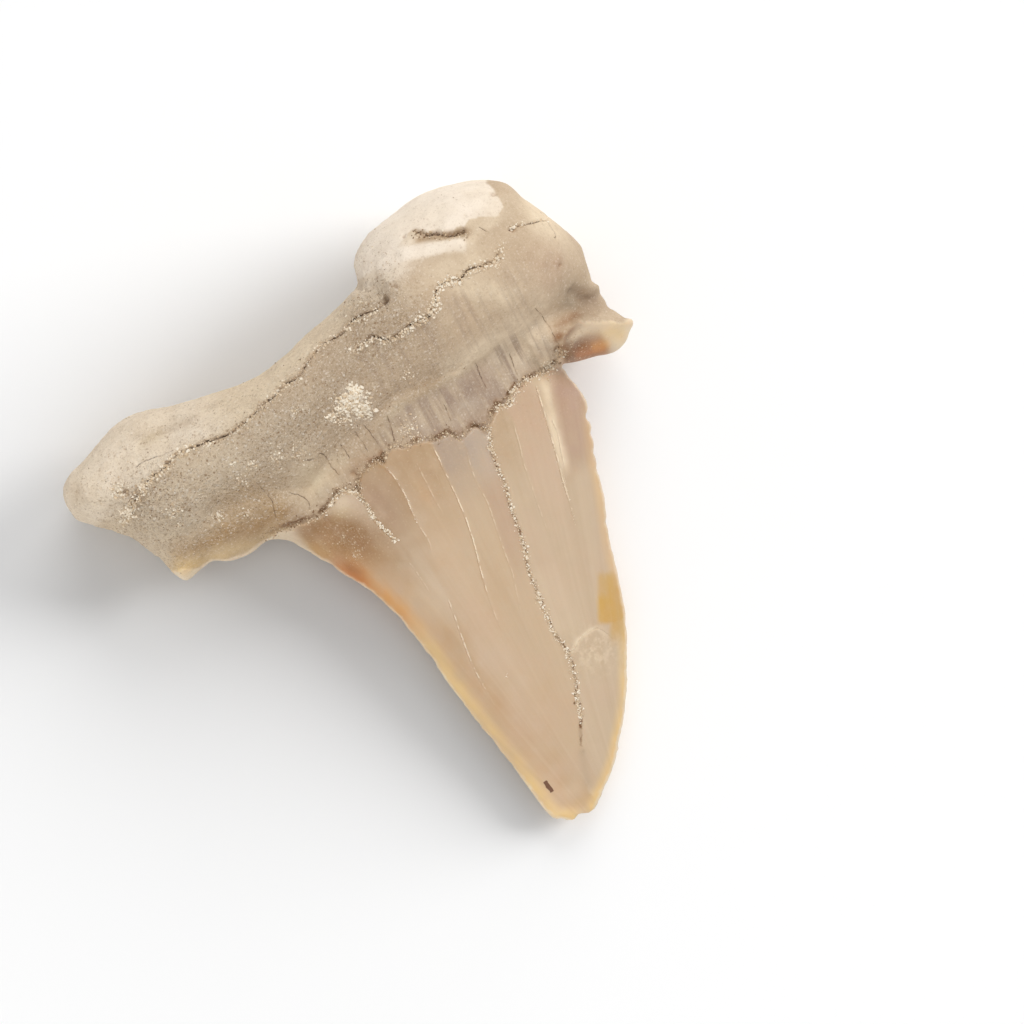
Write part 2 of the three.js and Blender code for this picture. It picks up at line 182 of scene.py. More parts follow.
SOUND_CUSP = 0.55, (1.1, 1.3), table("""
    15 9.5 4.6 15 14 5 7 2, 18.4 8.6 4.3 18.6 14.4 5 9 1.6, 20 8 4.1 20.4 14.2 4.8 8.9 1.4,
    21.8 7.55 4 22.2 13.8 4.6 8.4 1.4, 23.6 7 3.9 23.8 13 4.4 7.6 1.6, 24.9 7.3 3.9 25.05 11.9 4.2 6.5 1.9,
    25.6 7.9 3.9 25.45 10.4 4 5.4 2.6, 26.05 8.35 3.9 26 8.8 3.9 4.3 3.5
""")
MASSES = (ROOT, BLUNT_LOBE, NECK, CROWN, WORN_CUSP, SOUND_CUSP)
print(len(MASSES), "masses, from", sum(len(sections) for *_, sections in MASSES), "sections")

# %% Loft
def through(points, count):
    """A smooth curve through points: count places along it, evenly shared among the points' gaps."""
    points = np.asarray(points, float)
    ends = 2 * points[0] - points[1], 2 * points[-1] - points[-2]
    padded = np.vstack([ends[0], points, ends[1]])
    place = np.linspace(0, len(points) - 1, count)
    at = np.minimum(place.astype(int), len(points) - 2)
    t = (place - at)[:, None]
    p0, p1, p2, p3 = (padded[at + k] for k in range(4))
    gap = lambda a, b: np.sqrt(np.maximum(np.linalg.norm(b - a, axis=1), 1e-6))[:, None]
    g0, g1, g2 = gap(p0, p1), gap(p1, p2), gap(p2, p3)
    leave = g1 * ((p1 - p0) / g0 - (p2 - p0) / (g0 + g1) + (p2 - p1) / g1)
    arrive = g1 * ((p2 - p1) / g1 - (p3 - p1) / (g1 + g2) + (p3 - p2) / g2)
    bend, settle = 3 * (p2 - p1) - 2 * leave - arrive, 2 * (p1 - p2) + leave + arrive
    return p1 + leave * t + bend * t**2 + settle * t**3


def loft(mass, stations=150, around=110):
    """Vertices and faces of a closed skin through a mass's sections, in millimetres."""
    crest_at, (near, far), sections = mass
    sections = np.array(sections)
    edge_a = through(sections[:, :3], stations)[:, None, :]
    edge_b = through(sections[:, 3:6], stations)[:, None, :]
    crest, underside = through(sections[:, 6:], stations).T[..., None]

    angle = np.linspace(0, 2 * np.pi, around, endpoint=False)
    across = (1 - np.cos(angle)) / 2
    rings = edge_a + (edge_b - edge_a) * across[None, :, None]
    rising = (1 - (1 - np.minimum(across / crest_at, 1)) ** 2) ** (1 / near)
    falling = (1 - (1 - np.minimum((1 - across) / (1 - crest_at), 1)) ** 2) ** (1 / far)
    over = np.where(across < crest_at, rising, falling)
    under = 1 - (2 * across - 1) ** 4
    z = rings[..., 2]
    z = np.where(angle < np.pi, z + (crest - z) * over, z + (underside - z) * under)
    rings[..., 2] = np.maximum(z, 0)

    points = np.vstack([rings.reshape(-1, 3), rings[0].mean(0), rings[-1].mean(0)])
    faces = []
    last = (stations - 1) * around
    for j in range(around):
        k = (j + 1) % around
        faces += [(i + j, i + k, i + around + k, i + around + j) for i in range(0, last, around)]
        faces += [(len(points) - 2, k, j), (len(points) - 1, last + j, last + k)]
    return points, faces


def mesh_object(name, points, faces):
    """A mesh object from points in millimetres."""
    mesh = bpy.data.meshes.new(name)
    mesh.from_pydata((np.asarray(points) * MM).tolist(), [], [tuple(f) for f in faces])
    mesh.validate()
    made = bpy.data.objects.new(name, mesh)
    scene.collection.objects.link(made)
    return made


all_points, all_faces, start = [], [], 0
for mass in MASSES:
    points, faces = loft(mass)
    all_points.append(points)
    all_faces += [tuple(start + i for i in face) for face in faces]
    start += len(points)
tooth = mesh_object("fossil_tooth", np.vstack(all_points), all_faces)
print("lofted points:", len(tooth.data.vertices))

# %% [markdown]
# ## One skin over the masses
#
# The tooth grew as one piece, so the masses become one skin. A boolean union would keep their seams as hard creases
# with thin slivers along them. Voxel remeshing wraps everything in an even net instead, which is also what fine
# relief needs. The creases are then filled the way flesh fills a corner: only points that lie in a hollow bend move
# towards the middle of their neighbours.

# %% Remesh
VOXEL = 0.15


def bake(piece, *modifiers):
    """Adds modifiers, given as (type, settings), and keeps their result as the piece's mesh."""
    for kind, settings in modifiers:
        modifier = piece.modifiers.new(kind.lower(), kind)
        for name, value in settings.items():
            setattr(modifier, name, value)
    graph = bpy.context.evaluated_depsgraph_get()
    result = bpy.data.meshes.new_from_object(piece.evaluated_get(graph))
    piece.modifiers.clear()
    old = piece.data
    piece.data = result
    bpy.data.meshes.remove(old)


bake(tooth, ("REMESH", {"mode": "VOXEL", "voxel_size": VOXEL * MM}))
print("net:", len(tooth.data.vertices), "points")

# %% Reading and writing points as arrays
def read(items, name, width, kind=float):
    """A value of every point, edge or face, as an array with one row for each."""
    flat = np.empty(len(items) * width, kind)
    items.foreach_get(name, flat)
    return flat.reshape(-1, width)


def points_of(piece):
    return read(piece.data.vertices, "co", 3) / MM


def normals_of(piece):
    return read(piece.data.vertices, "normal", 3)


def put_points(piece, points):
    piece.data.vertices.foreach_set("co", (points * MM).ravel())
    piece.data.update()


def neighbour_mean(values, edges):
    """For every point, the mean of a value over the points it shares an edge with."""
    count = np.bincount(edges.ravel(), minlength=len(values))
    one, other = edges.T
    columns = values.reshape(len(values), -1).T
    sums = [np.bincount(one, v[other], len(values)) + np.bincount(other, v[one], len(values)) for v in columns]
    return (np.array(sums) / count).T.reshape(values.shape)


# %% Fill the creases
SOFTEN_ROUNDS = 6
CREASE_ROUNDS = 60
LOOK_AGAIN = 10  # after so many rounds the creases are looked for again
FULL_BEND = 0.03 * VOXEL  # a hollow bend this deep is filled at full pace

points, edges = points_of(tooth), read(tooth.data.edges, "vertices", 2, np.int32)
for _ in range(SOFTEN_ROUNDS):
    points += 0.5 * (neighbour_mean(points, edges) - points)
for k in range(CREASE_ROUNDS):
    if k % LOOK_AGAIN == 0:
        put_points(tooth, points)
        pull = neighbour_mean(points, edges) - points
        hollow = np.clip((pull * normals_of(tooth)).sum(1) / FULL_BEND, 0, 1)
        for _ in range(3):
            hollow = np.maximum(hollow, 0.9 * neighbour_mean(hollow, edges))
    points += 0.5 * hollow[:, None] * (neighbour_mean(points, edges) - points)
points[:, 2] = np.maximum(points[:, 2], 0)
put_points(tooth, points)
print("creases filled, highest point", round(points[:, 2].max(), 2), "mm")

# %% [markdown]
# ## Lines on the tooth
#
# The relief and the colours both follow a few lines, drawn here on the tooth as seen from above: where the enamel
# stops, where the dental band stops, and where the cracks run. The fossil dried and split long ago, and three kinds
# of crack show. Wide ones run along the root and down the crown, packed with sand over a dark core. A fissure in
# the blunt lobe stands open. Hair-thin ones in the enamel are filled flush with pale silt. Each line is a short list
# of places, and a smooth curve goes through them.

# %% Lines of the enamel and the band
ENAMEL_LINE = table("""
    -21.5 9.9, -20.4 9.9, -19.5 9.5, -18.7 9, -17.2 9.05, -15.9 8.3, -13.8 8, -12.4 8.15, -10.6 8.1, -7.9 7.55,
    -6.8 7.4, -5.1 7.9, -4.5 8.25, -3.7 8.3, -3.1 7.9, -2.5 7.5, -2.2 8.3, -1.4 8.8, -0.75 9, 0.3 8.95, 0.66 8.6,
    1.1 9.1, 1.9 9.4, 3 8.95, 3.9 8.7, 5 8.5, 5.9 7.9, 6.9 8, 7.5 7.1, 9.1 7.4, 10 6.7, 11.3 7.5, 12 7.9, 13 7.6,
    13.6 8.2, 15.25 8.7, 17.3 8.5, 18.7 8.7, 19.25 9.4, 20.3 10.4, 20.9 10.8, 21.9 11, 22.65 10.45, 23.9 9.85,
    25.2 9.1, 26.5 8.9
""")
BAND_TOP = table("-9 9.4, -6 9.4, -3 10.2, 0 11, 4 11.9, 8 11.9, 12 12.1, 15 12.8, 19 12.6")
BASAL_EDGE = table("""
    -26 17, -21.9 16.4, -18.9 17.5, -14.4 18.6, -9.2 17.8, -4.6 18.7, -0.3 20.1, 3.5 20.8, 8.1 21.5, 10.5 22.6,
    13.5 22.3, 17 21.3, 20.9 22.2, 24 24
""")
# The crown's two cutting edges are edge a and edge b of its sections, as seen from above.
LEFT_EDGE = [section[:2] for section in CROWN[2][1:]]
RIGHT_EDGE = [section[3:5] for section in CROWN[2][1:]]
print("points on the lines:", len(ENAMEL_LINE), len(BAND_TOP), len(BASAL_EDGE), len(LEFT_EDGE))

# %% Cracks
ROOT_CRACK = table("""
    -22.4 15.6, -21.1 16.3, -19.8 17, -18.6 17.5, -17.4 17.85, -16.3 17.95, -15.4 18.3, -14.5 18.45, -13.3 18.3,
    -12.1 18.1, -10.9 17.75, -8.8 17.75, -7.9 17.9, -6.6 18.35, -4.6 18.7, -3.5 19.05, -2.2 19, -0.8 19.7, 0.7 20.4,
    1.8 20.5, 3.3 20.45, 4.5 20.8, 5.6 20.7, 7.3 20.7, 8.1 21.3
""")
LOBE_CRACK = table("""
    3.1 18.5, 4.1 18.6, 5.4 18.7, 6.2 18, 6.7 17.7, 7.9 17.65, 8.9 17.9, 9.9 17.95, 10.9 17.9, 11.7 18.5,
    12.4 19.35, 13.5 19.65, 14.5 19.2, 15.8 19.5, 17.2 19.25, 18.3 19.1, 19.2 20
""")
CROWN_CRACK = table("""
    10.4 6.6, 9.9 5.7, 9.5 4.9, 9.25 3.3, 9.05 1.6, 8.65 0, 8.4 -1.15, 8 -3, 7.7 -4.2, 7.3 -5.3, 7 -6.8, 6.75 -8.35,
    6.55 -9.3, 6.4 -10.75, 6.2 -12.35, 6.4 -14.05, 6.2 -15.3, 5.65 -17.1, 5.15 -18, 4.85 -19.05, 4.2 -20.4,
    3.45 -21.7, 3.05 -23.2
""")
PEAK_CRACK = table("""
    -5.5 7.75, -4.9 8.05, -3.7 8.3, -2.9 7.7, -2.65 6.75, -2.5 5.8, -2.6 5.1, -2.4 3.9, -2.1 2.9, -1.8 2
""")
CROWN_BRANCH = table("6.5 -14.35, 6.95 -14.3, 7.8 -13.8, 8.55 -13.65, 9.7 -13.7, 10.15 -14.5, 10.5 -15.4")
FISSURE = table("13.2 25, 13.5 24.75, 13.9 24.35, 14.7 24.05, 15.8 23.3, 16.85 22.75, 17.3 23.05")
SHELF_CRACK = table("20.7 20.8, 21.1 21, 22.4 20.6, 24.2 20.1")
FINE_CRACKS = [table(line) for line in """
    -18.7 19.3, -17.25 19.35, -16 19.1, -14.6 18.85;
    18.4 22.4, 18.7 21.9, 19 21.5;
    23.5 18.2, 23.9 19, 24 20;
    -10 13, -9.7 11.4, -9.7 10.5, -10.3 9.1;
    -8.1 10.7, -7 9.3, -7.2 8.3;
    -5.4 12.6, -4.6 12.3, -3.7 12.3, -3.5 10.4, -3.2 9.6;
    -1.8 12, -1.75 10.4;
    -0.2 12.35, 0 10.2;
    0.8 12.5, 1.1 10.3;
    3.1 12.3, 2.5 10, 1.85 9.4;
    7.95 10.5, 7.75 8.8;
    12.2 12.5, 11.95 9.8;
    15.3 11.5, 15 9.3;
    19.2 14, 19.6 12, 19.4 9.6
""".split(";")]
# Each hairline crack that is filled with silt, with its strength.
SILT_CRACKS = [
    (0.9, table("0.6 8.5, 0.9 6.8, 0.9 5.2, 0.7 3.5, 0.6 2.3, 0.7 0.7, 0.3 -0.7")),
    (0.35, table("3.2 7.3, 3.1 5.2, 3 3.5, 3 1.9")),
    (1.0, table("""
        5.2 7.8, 5.1 6.4, 4.9 4.2, 4.75 2.2, 4.5 0.5, 4 -1.8, 3.6 -3.2, 3.1 -5.1, 2.7 -6.9, 2.4 -9, 2.4 -10.1
    """)),
    (0.4, table("7.6 6, 7.3 4.9, 7 3.2, 6.9 1, 6.5 -1.1, 6 -3.7, 5.6 -5.9, 4.7 -8.6, 4.4 -10.2")),
    (0.4, table("12.4 5.9, 11.8 3.6, 11.4 2.3, 11 0.2, 10.4 -2.9, 10.2 -4.9")),
    (1.0, table("15.9 8, 15.5 6.4, 14.9 3.9, 14.4 1.9, 13.7 -0.6, 13.2 -2.9, 12.7 -5")),
    (0.7, table("15.6 4.6, 15.4 3.1, 14.7 1.2, 13.7 -1.6")),
    (0.8, table("-0.4 -4.6, -0.7 -6.3, -1 -8, -1.4 -10.2, -1.6 -12.4, -1.6 -14.1, -1.7 -16.1")),
    (0.35, table("-1.8 -0.1, -1.6 -1.8, -1.5 -4.1")),
    (1.0, PEAK_CRACK),
]
print("cracks:", 6 + len(FINE_CRACKS) + len(SILT_CRACKS))

# %% Distance from a line
FAR_AWAY = 99.0


def step(low, high, value):
    """0 below low, 1 above high, and a soft slope between."""
    t = np.clip((value - low) / (high - low), 0, 1)
    return t * t * (3 - 2 * t)


def line_distance(line, smooth=True, reach=3.0):
    """How far each point lies to the side of a line, with a sign, and how far along the line, from 0 to 1."""
    line = np.asarray([(*place, 0) for place in line], float)
    if smooth:
        line = through(line, 6 * len(line))
    line = line[:, :2]
    xy = points[:, :2]
    near = np.nonzero(np.all((xy > line.min(0) - reach) & (xy < line.max(0) + reach), axis=1))[0]
    side, along = np.full(len(points), FAR_AWAY), np.zeros(len(points))
    best, place = np.full(len(near), FAR_AWAY), np.zeros(len(near))
    for k, (a, b) in enumerate(zip(line[:-1], line[1:])):
        span, out = b - a, xy[near] - a
        t = np.clip(out @ span / max(span @ span, 1e-9), 0, 1)
        distance = np.hypot(*(out - t[:, None] * span).T)
        closer = distance < np.abs(best)
        left = span[0] * out[:, 1] - span[1] * out[:, 0] > 0
        best = np.where(closer, np.where(left, distance, -distance), best)
        place = np.where(closer, (k + t) / (len(line) - 1), place)
    side[near], along[near] = best, place
    return side, along

# %% [markdown]
# ## Thinning the net
#
# A close net costs memory, and most of the tooth doesn't need it. Decimation takes out points where they matter
# least. A vertex group tells it where it may: freely on the underside and the steep sides, rather less on the smooth
# enamel, sparingly over the rough root, and not at all near a crack or on the enamel's edge.

# %% Thin
MOST_TRIANGLES = 196000
KEEP_NEAR = 0.7
DARK_SPOT = [(-1.2, -24.5), (-1, -23.4)]
# How freely triangles are given up in each place, from 0 to 1.
SPARE_ENAMEL, SPARE_ROOT, SPARE_SIDES, SPARE_UNDERSIDE = 0.7, 0.3, 0.85, 1.0

points = points_of(tooth)
facing = normals_of(tooth)[:, 2]
line_x, line_y = np.array(ENAMEL_LINE).T
in_enamel = points[:, 1] < np.interp(points[:, 0], line_x, line_y)
nearest = np.full(len(points), FAR_AWAY)
kept_lines = [ROOT_CRACK, LOBE_CRACK, CROWN_CRACK, PEAK_CRACK, CROWN_BRANCH, FISSURE, SHELF_CRACK, ENAMEL_LINE]
kept_lines += [*FINE_CRACKS, DARK_SPOT, *(line for _, line in SILT_CRACKS)]
for line in kept_lines:
    nearest = np.minimum(nearest, np.abs(line_distance(line)[0]))
spare = np.where(in_enamel, SPARE_ENAMEL, SPARE_ROOT) * step(KEEP_NEAR, 2 * KEEP_NEAR, nearest)
spare = np.where(facing < -0.2, SPARE_SIDES, spare)
spare = np.where((facing < -0.8) & (points[:, 2] < 2), SPARE_UNDERSIDE, spare)
spare = np.round(spare, 1)

thin = tooth.vertex_groups.new(name="thin")
for weight in np.unique(spare[spare > 0]):
    thin.add(np.nonzero(spare == weight)[0].tolist(), float(weight), "REPLACE")
bake(tooth, ("TRIANGULATE", {}))
share = MOST_TRIANGLES / len(tooth.data.polygons)
bake(tooth, ("DECIMATE", {"ratio": share, "vertex_group": "thin", "vertex_group_factor": 1.0}))
tooth.vertex_groups.clear()
print("after thinning:", len(tooth.data.polygons), "triangles")

# %% Mend the folds
MEND_ROUNDS = 20
FOLDED = 0.3  # how far a triangle has to agree with the points round it, as the cosine of the angle between them

edges = read(tooth.data.edges, "vertices", 2, np.int32)
corners = read(tooth.data.polygons, "vertices", 3, np.int32)


def mend_folds():
    """Evens out the net where a small triangle lies folded over its neighbours."""
    points = points_of(tooth)
    for _ in range(MEND_ROUNDS):
        around = normals_of(tooth)
        for _ in range(3):
            around = neighbour_mean(around, edges)
        a, b, c = (points[corners[:, k]] for k in range(3))
        outward = np.cross(b - a, c - a)
        agree = (outward * around[corners].mean(1)).sum(1)
        folded = np.unique(corners[agree < FOLDED * np.linalg.norm(outward, axis=1)])
        loose = np.zeros(len(points))
        loose[folded] = 1
        loose = loose + neighbour_mean(loose, edges) > 0
        points[loose] = neighbour_mean(points, edges)[loose]
        put_points(tooth, points)
    print("folded points left:", len(folded))
    return points


mend_folds()

# %% [markdown]
# ## Fields over the points
#
# From here on the net stays as it is, and only its points move. A field is an array with one number for each point:
# the distance from an edge, a soft round patch, a noise. Fields are cheap to add and multiply, so the relief is
# worked out as one sum before anything moves, and the same fields then colour the tooth.

# %% Blobs and noise
points = points_of(tooth)
normals = neighbour_mean(normals_of(tooth), edges)
normals /= np.linalg.norm(normals, axis=1)[:, None]
upward = np.clip(normals[:, 2] * 2, 0, 1)
X, Y = points.T[:2].copy()


def blob(x, y, wide, tall=None, turn=0.0):
    """A soft round or oval patch: 1 in the middle, fading to 0."""
    c, s = math.cos(math.radians(turn)), math.sin(math.radians(turn))
    u = ((X - x) * c + (Y - y) * s) / wide
    v = ((Y - y) * c - (X - x) * s) / (tall or wide)
    return np.exp(-(u * u + v * v))


def stripe(x0, y0, x1, y1, width):
    """A long soft mask from one place to another."""
    side, along = line_distance([(x0, y0), (x1, y1)], smooth=False)
    return np.exp(-((side / width) ** 2)) * step(0, 0.15, along) * step(1, 0.8, along)


def lumps(size, octaves=3, seed=0):
    """Fractal noise over the points, mostly between -1 and 1, with lumps of the given size."""
    places = points / size + seed * 7.31
    return np.array([noise.fractal(p, 0.8, 2.0, octaves) for p in places.tolist()])


coarse = lumps(4.0, 3, seed=1)
medium = lumps(1.5, 3, seed=2)
fine = lumps(0.5, 2, seed=3)
print("noise spread:", [round(float(n.std()), 2) for n in (coarse, medium, fine)])

# %% Regions
ragged = 0.16 * medium + 0.1 * fine
to_line, _ = line_distance(ENAMEL_LINE, smooth=False)
past_line = np.where(Y < np.interp(X, line_x, line_y), np.abs(to_line), -np.abs(to_line)) + ragged
enamel = step(-0.08, 0.12, past_line)
bare = 1 - enamel

band_x, band_y = np.array(BAND_TOP).T
under_band_top = np.interp(X, band_x, band_y) - Y + 0.3 * medium
band = step(-0.6, 0.5, under_band_top) * bare * step(-10, -6, X) * step(19.6, 18.6, X) * step(5, 7, Y)

basal_x, basal_y = np.array(BASAL_EDGE).T
basal = step(-0.35, 0.45, Y - np.interp(X, basal_x, basal_y) + 0.3 * medium) * step(21.4, 20.4, X + 0.6 * medium)

edge_left = np.abs(line_distance(LEFT_EDGE)[0])
edge_right = np.abs(line_distance(RIGHT_EDGE)[0])
print("share of points in the enamel:", round(float(enamel.mean()), 2), "in the band:", round(float(band.mean()), 2))

# %% [markdown]
# ## Carving the relief
#
# `rise` is how far each point moves out along its own normal, in millimetres. Broad swellings come first, as in
# the construction model, then the weathering: the bare root is rough and porous, and the enamel is glassy with only
# faint waves.

# %% Swellings and weathering
# Each swelling as x y radius height, each ridge as x y at its two ends, width and height, and each rough patch as
# x y and its two radii.
SWELLINGS = table("""
    5.6 21.9 1.5 0.7, 9.6 21.6 1.6 0.6, 7.6 21.6 1.1 -0.4, -23.4 18.6 1.9 0.6, -20.7 17.4 1.4 -0.5,
    -17.4 14.6 2.4 0.5, -14 12.6 1.6 -0.5, -10.6 15 2.6 0.5, -5.6 10.9 2 0.5, -1.6 15.8 2.4 -0.4, 3 14.2 2.2 0.4,
    9.6 15 3 0.6, 14 17.6 2.2 -0.4, 17.6 15.6 2.6 0.5, 20 12.4 1.4 -0.6, 22.4 17.8 2 0.5, -14.5 21 1.8 -0.5,
    12.4 24.6 1.6 0.4, 17.4 24.4 1.8 0.4, 9.4 21.7 0.6 0.3, 5.9 22.6 0.55 0.25, 25.1 12.6 0.6 0.7,
    -20.8 18.3 0.7 0.12
""")
RIDGES = table("""
    21.2 11.4 26.6 8.2 0.4 0.5, 20.6 9.4 25 7.6 0.7 -0.25, 10.6 23.7 17.4 21.3 0.6 0.3, 13 24.2 18 22.2 0.5 -0.25,
    21.4 17.5 20.2 11.5 0.6 0.14, 18.6 18 17.8 12.4 0.6 0.12, 22.8 14 24.2 10.4 0.6 -0.5
""")
ROUGH_PATCHES = table("-15 14 9 4, -4 15.5 6 3, -19 16.4 3 2, 6 18.5 4 2, 7 21.5 2.5 1.5")

rise = np.zeros(len(points))
for *shape, height in SWELLINGS:
    rise += height * blob(*shape) * upward
for *shape, height in RIDGES:
    rise += height * stripe(*shape) * upward
sandy = 0.35 + sum(0.5 * blob(*patch) for patch in ROUGH_PATCHES)
sandy = np.clip(sandy - 0.5 * blob(-5.5, 10.5, 2) - 0.25 * band - 0.25 * step(9, 13, X), 0.12, 1) * bare
sandy *= 1 - 0.7 * stripe(-21, 9.6, -8, 7.8, 1)

rise += bare * (0.13 * coarse + 0.08 * medium) * (0.4 + 0.6 * upward) + 0.13 * sandy * fine
rise += enamel * (0.05 * coarse + 0.012 * medium)
print("weathered:", round(float(rise.min()), 2), "to", round(float(rise.max()), 2), "mm")

# %% [markdown]
# Where the enamel stops there is a ragged little step down. The band above it is bare dentine that once lay under the
# gum: it has faint upright ribs, and a low lip closes it at the top, painted lighter as a highlight where it catches
# the light.

# %% Enamel step, ribs and lip
ENAMEL_STEP = 0.16
GROOVE_DEPTH = 0.16
RIB_HEIGHT, RIB_PITCH = 0.03, 1.15
LIP_HEIGHT = 0.16
BAND_DEPTH = 0.14

rise += ENAMEL_STEP * enamel * upward
along_margin = step(-14, -8, X) * step(20, 18.6, X) * upward
margin = np.clip(0.65 + 1.1 * medium, 0, 1) * along_margin
rise -= GROOVE_DEPTH * margin * np.exp(-(((past_line + 0.22) / 0.2) ** 2))
rise += RIB_HEIGHT * np.cos(2 * np.pi * (X + 0.1 * Y) / RIB_PITCH + 2.5 * coarse) * band * upward
lip = np.exp(-(((under_band_top + 0.5) / 0.5) ** 2)) * bare * step(1, 4, X) * step(16, 13.5, X) * upward
rise += LIP_HEIGHT * lip - BAND_DEPTH * band * step(2, 6, X) * upward
print("margin and band relief:", round(float(rise.min()), 2), "to", round(float(rise.max()), 2), "mm")

# %% [markdown]
# ## Cracks and pits in the relief
#
# A crack is a groove with a ragged rim and little banks of sand along it. The signed distance to the nearest crack
# is kept as well: a material can find a very sharp line from it, far sharper than the net, because a signed
# distance passes evenly through zero where the line runs.

# %% Carve
SILT_DEPTH = 0.03

crack_side, crack_near = np.full(len(points), FAR_AWAY), np.zeros(len(points))
silt_side, silt_near = crack_side.copy(), crack_near.copy()
# hollow: how far painted shade darkens each point inside a crack, a pit or a pore
hollow = np.zeros(len(points))


def nearest_line(sides, nears, side, near):
    """Keeps, for each point, the line that it is nearest to."""
    closer = np.abs(side) < np.abs(sides)
    sides[closer], nears[closer] = side[closer], near[closer]


def carve(line, half_width, depth, lips=0.0, wander=0.15, dark=1.0):
    """Cuts a ragged crack along a line, with banks of sand beside it, and paints shade into its groove. Its sides are
    kept in half widths.
    """
    global rise, hollow
    side, along = line_distance(line)
    side = side + wander * medium + 0.05 * fine
    fade = step(0, 0.06, along) * step(1, 0.92, along) * upward
    distance = np.abs(side)
    inside = step(half_width, 0, distance) * fade
    bank = np.exp(-(((distance - 1.5 * half_width) / (0.8 * half_width)) ** 2)) * fade
    rise += lips * bank * (0.6 + fine) - depth * inside
    # the inside of the groove gets painted shade
    hollow = np.maximum(hollow, dark * inside)
    nearest_line(crack_side, crack_near, side / half_width, dark * fade * step(1.2, 0.7, distance))


carve(ROOT_CRACK, 0.18, 0.3, lips=0.08)
carve(LOBE_CRACK, 0.22, 0.28, lips=0.12)
carve(CROWN_CRACK, 0.26, 0.14, lips=0.02, wander=0.14)
carve(PEAK_CRACK, 0.16, 0.08, lips=0.04, wander=0.1, dark=0.35)
carve(CROWN_BRANCH, 0.12, 0.05, wander=0.1, dark=0.2)
carve(FISSURE, 0.17, 0.7, lips=0.04, wander=0.22)
carve(SHELF_CRACK, 0.14, 0.14, lips=0.06, dark=0.7)
for line in FINE_CRACKS:
    carve(line, 0.1, 0.06, wander=0.1, dark=0.65)

for strength, line in SILT_CRACKS:
    side, along = line_distance(line)
    side = side + 0.03 * medium
    fade = 0.85 * strength * step(0, 0.05, along) * step(1, 0.6, along) * enamel * upward
    rise -= SILT_DEPTH * fade * step(0.2, 0.0, np.abs(side))
    nearest_line(silt_side, silt_near, side, fade * step(1.0, 0.6, np.abs(side)))
print("deepest crack point:", round(float(rise.min()), 2), "mm")

# %% Pits
PORE_DEPTH = 0.06
# Each as x y radius depth.
PITS = table("""
    7.9 21.25 0.42 0.9, 21.1 20.9 0.35 0.4, -20.7 17.8 0.4 0.35, 19.3 9.3 0.55 0.6, 21.1 24.5 0.3 0.3,
    8.35 23.1 0.2 0.2, 6.6 22.9 0.2 0.25, 9.55 21.2 0.25 0.3, 12.3 24.8 0.2 0.2, -18.6 17.5 0.25 0.25,
    22.9 16.1 0.22 0.15, -2.2 9.2 0.35 0.3, 0.66 8.75 0.25 0.25, 10 6.6 0.4 0.3
""")

# Each pit is sunk, and its inside is darkened with painted shade.
for *shape, depth in PITS:
    here = blob(*shape) * upward
    rise -= depth * here
    hollow = np.maximum(hollow, step(0.25, 0.9, here))

pores = step(0.42, 0.62, lumps(0.4, 1, seed=5)) * sandy
rise -= PORE_DEPTH * pores
# the pores are darkened with painted shade too
hollow = np.maximum(hollow, 0.35 * pores)
print("share of the root that is pores:", round(float(pores.sum() / bare.sum()), 3))

# %% [markdown]
# The cutting edges are thin. They have small chips, mostly on the side that leans outwards, and the very tip is
# broken off. A chip can't be a movement along the normal, because there the normal points sideways and up at once,
# so these points move level, mostly towards the middle of the tooth.

# %% Chips
SAW_DEPTH = 0.06  # of the fine teeth that are left along the right edge
# Each list has the way in which its chips move the edge, then the chips, as x y radius depth. The lists are of the
# right edge, the left edge, the tip, and the knobs of the sound cusp.
CHIPS = [
    ((-1, 0.3), table("""
        18.9 3.1 0.5 0.45, 18.3 1.6 0.4 0.25, 17.5 0.2 0.3 0.12, 17.1 -1.5 0.4 0.2, 16.3 -3.1 0.3 0.1,
        15.2 -5.9 0.3 0.16, 14.4 -8.1 0.3 0.1, 12.3 -14.8 0.3 0.1, 10.2 -18.5 0.5 0.08, 6.4 -23.5 0.6 0.1
    """)),
    ((1, 0.1), table("-4.5 -8.9 0.5 0.16, -5.3 -3.9 0.5 0.12, -3.6 -17.9 0.6 0.12, -8.2 3.2 0.6 0.15")),
    ((0.1, 1), table("0 -27.9 0.45 0.35, -1.6 -27.4 0.5 0.2")),
    ((1, 0.2), table("25.1 12.7 0.5 0.75, 25.4 10.9 0.5 -0.25, 26 8.7 0.35 0.15")),
]

inward = np.zeros((len(points), 2))
for direction, chips in CHIPS:
    for *shape, depth in chips:
        inward += depth * blob(*shape)[:, None] * np.array(direction)
serration = np.abs(lumps(0.9, 2, seed=8))
inward += (SAW_DEPTH * serration * step(0.7, 0.1, edge_right) * enamel)[:, None] * np.array((-1, 0.3))

points[:, :2] += inward
points += rise[:, None] * normals
points[:, 2] = np.maximum(points[:, 2], 0)
put_points(tooth, points)
points = mend_folds()
print("relief:", round(float(rise.min()), 2), "to", round(float(rise.max()), 2), "mm")

# %% [markdown]
# ## Painting the tooth
#
# A fossil takes its colours from the ground: iron turns enamel amber and brown from its edges inwards, clay greys the
# root, and where the surface broke lately it is chalky. Light adds to them, and that is painted too: a warm glow
# along the thin cutting edges, where light shines through the enamel, and in a few places painted light and painted
# shade where the relief catches or hides the light. All of these are large and soft, so they are painted on the
# points themselves, as a colour attribute, one over the other. Small things such as grains, streaks and hairlines are
# left to the material, which isn't limited by the net.

# %% Pigments
def pigment(*screen):
    """Screen values from 0 to 255, as the light values that Blender works with."""
    screen = np.array(screen) / 255
    return np.where(screen <= 0.04045, screen / 12.92, ((screen + 0.055) / 1.055) ** 2.4)


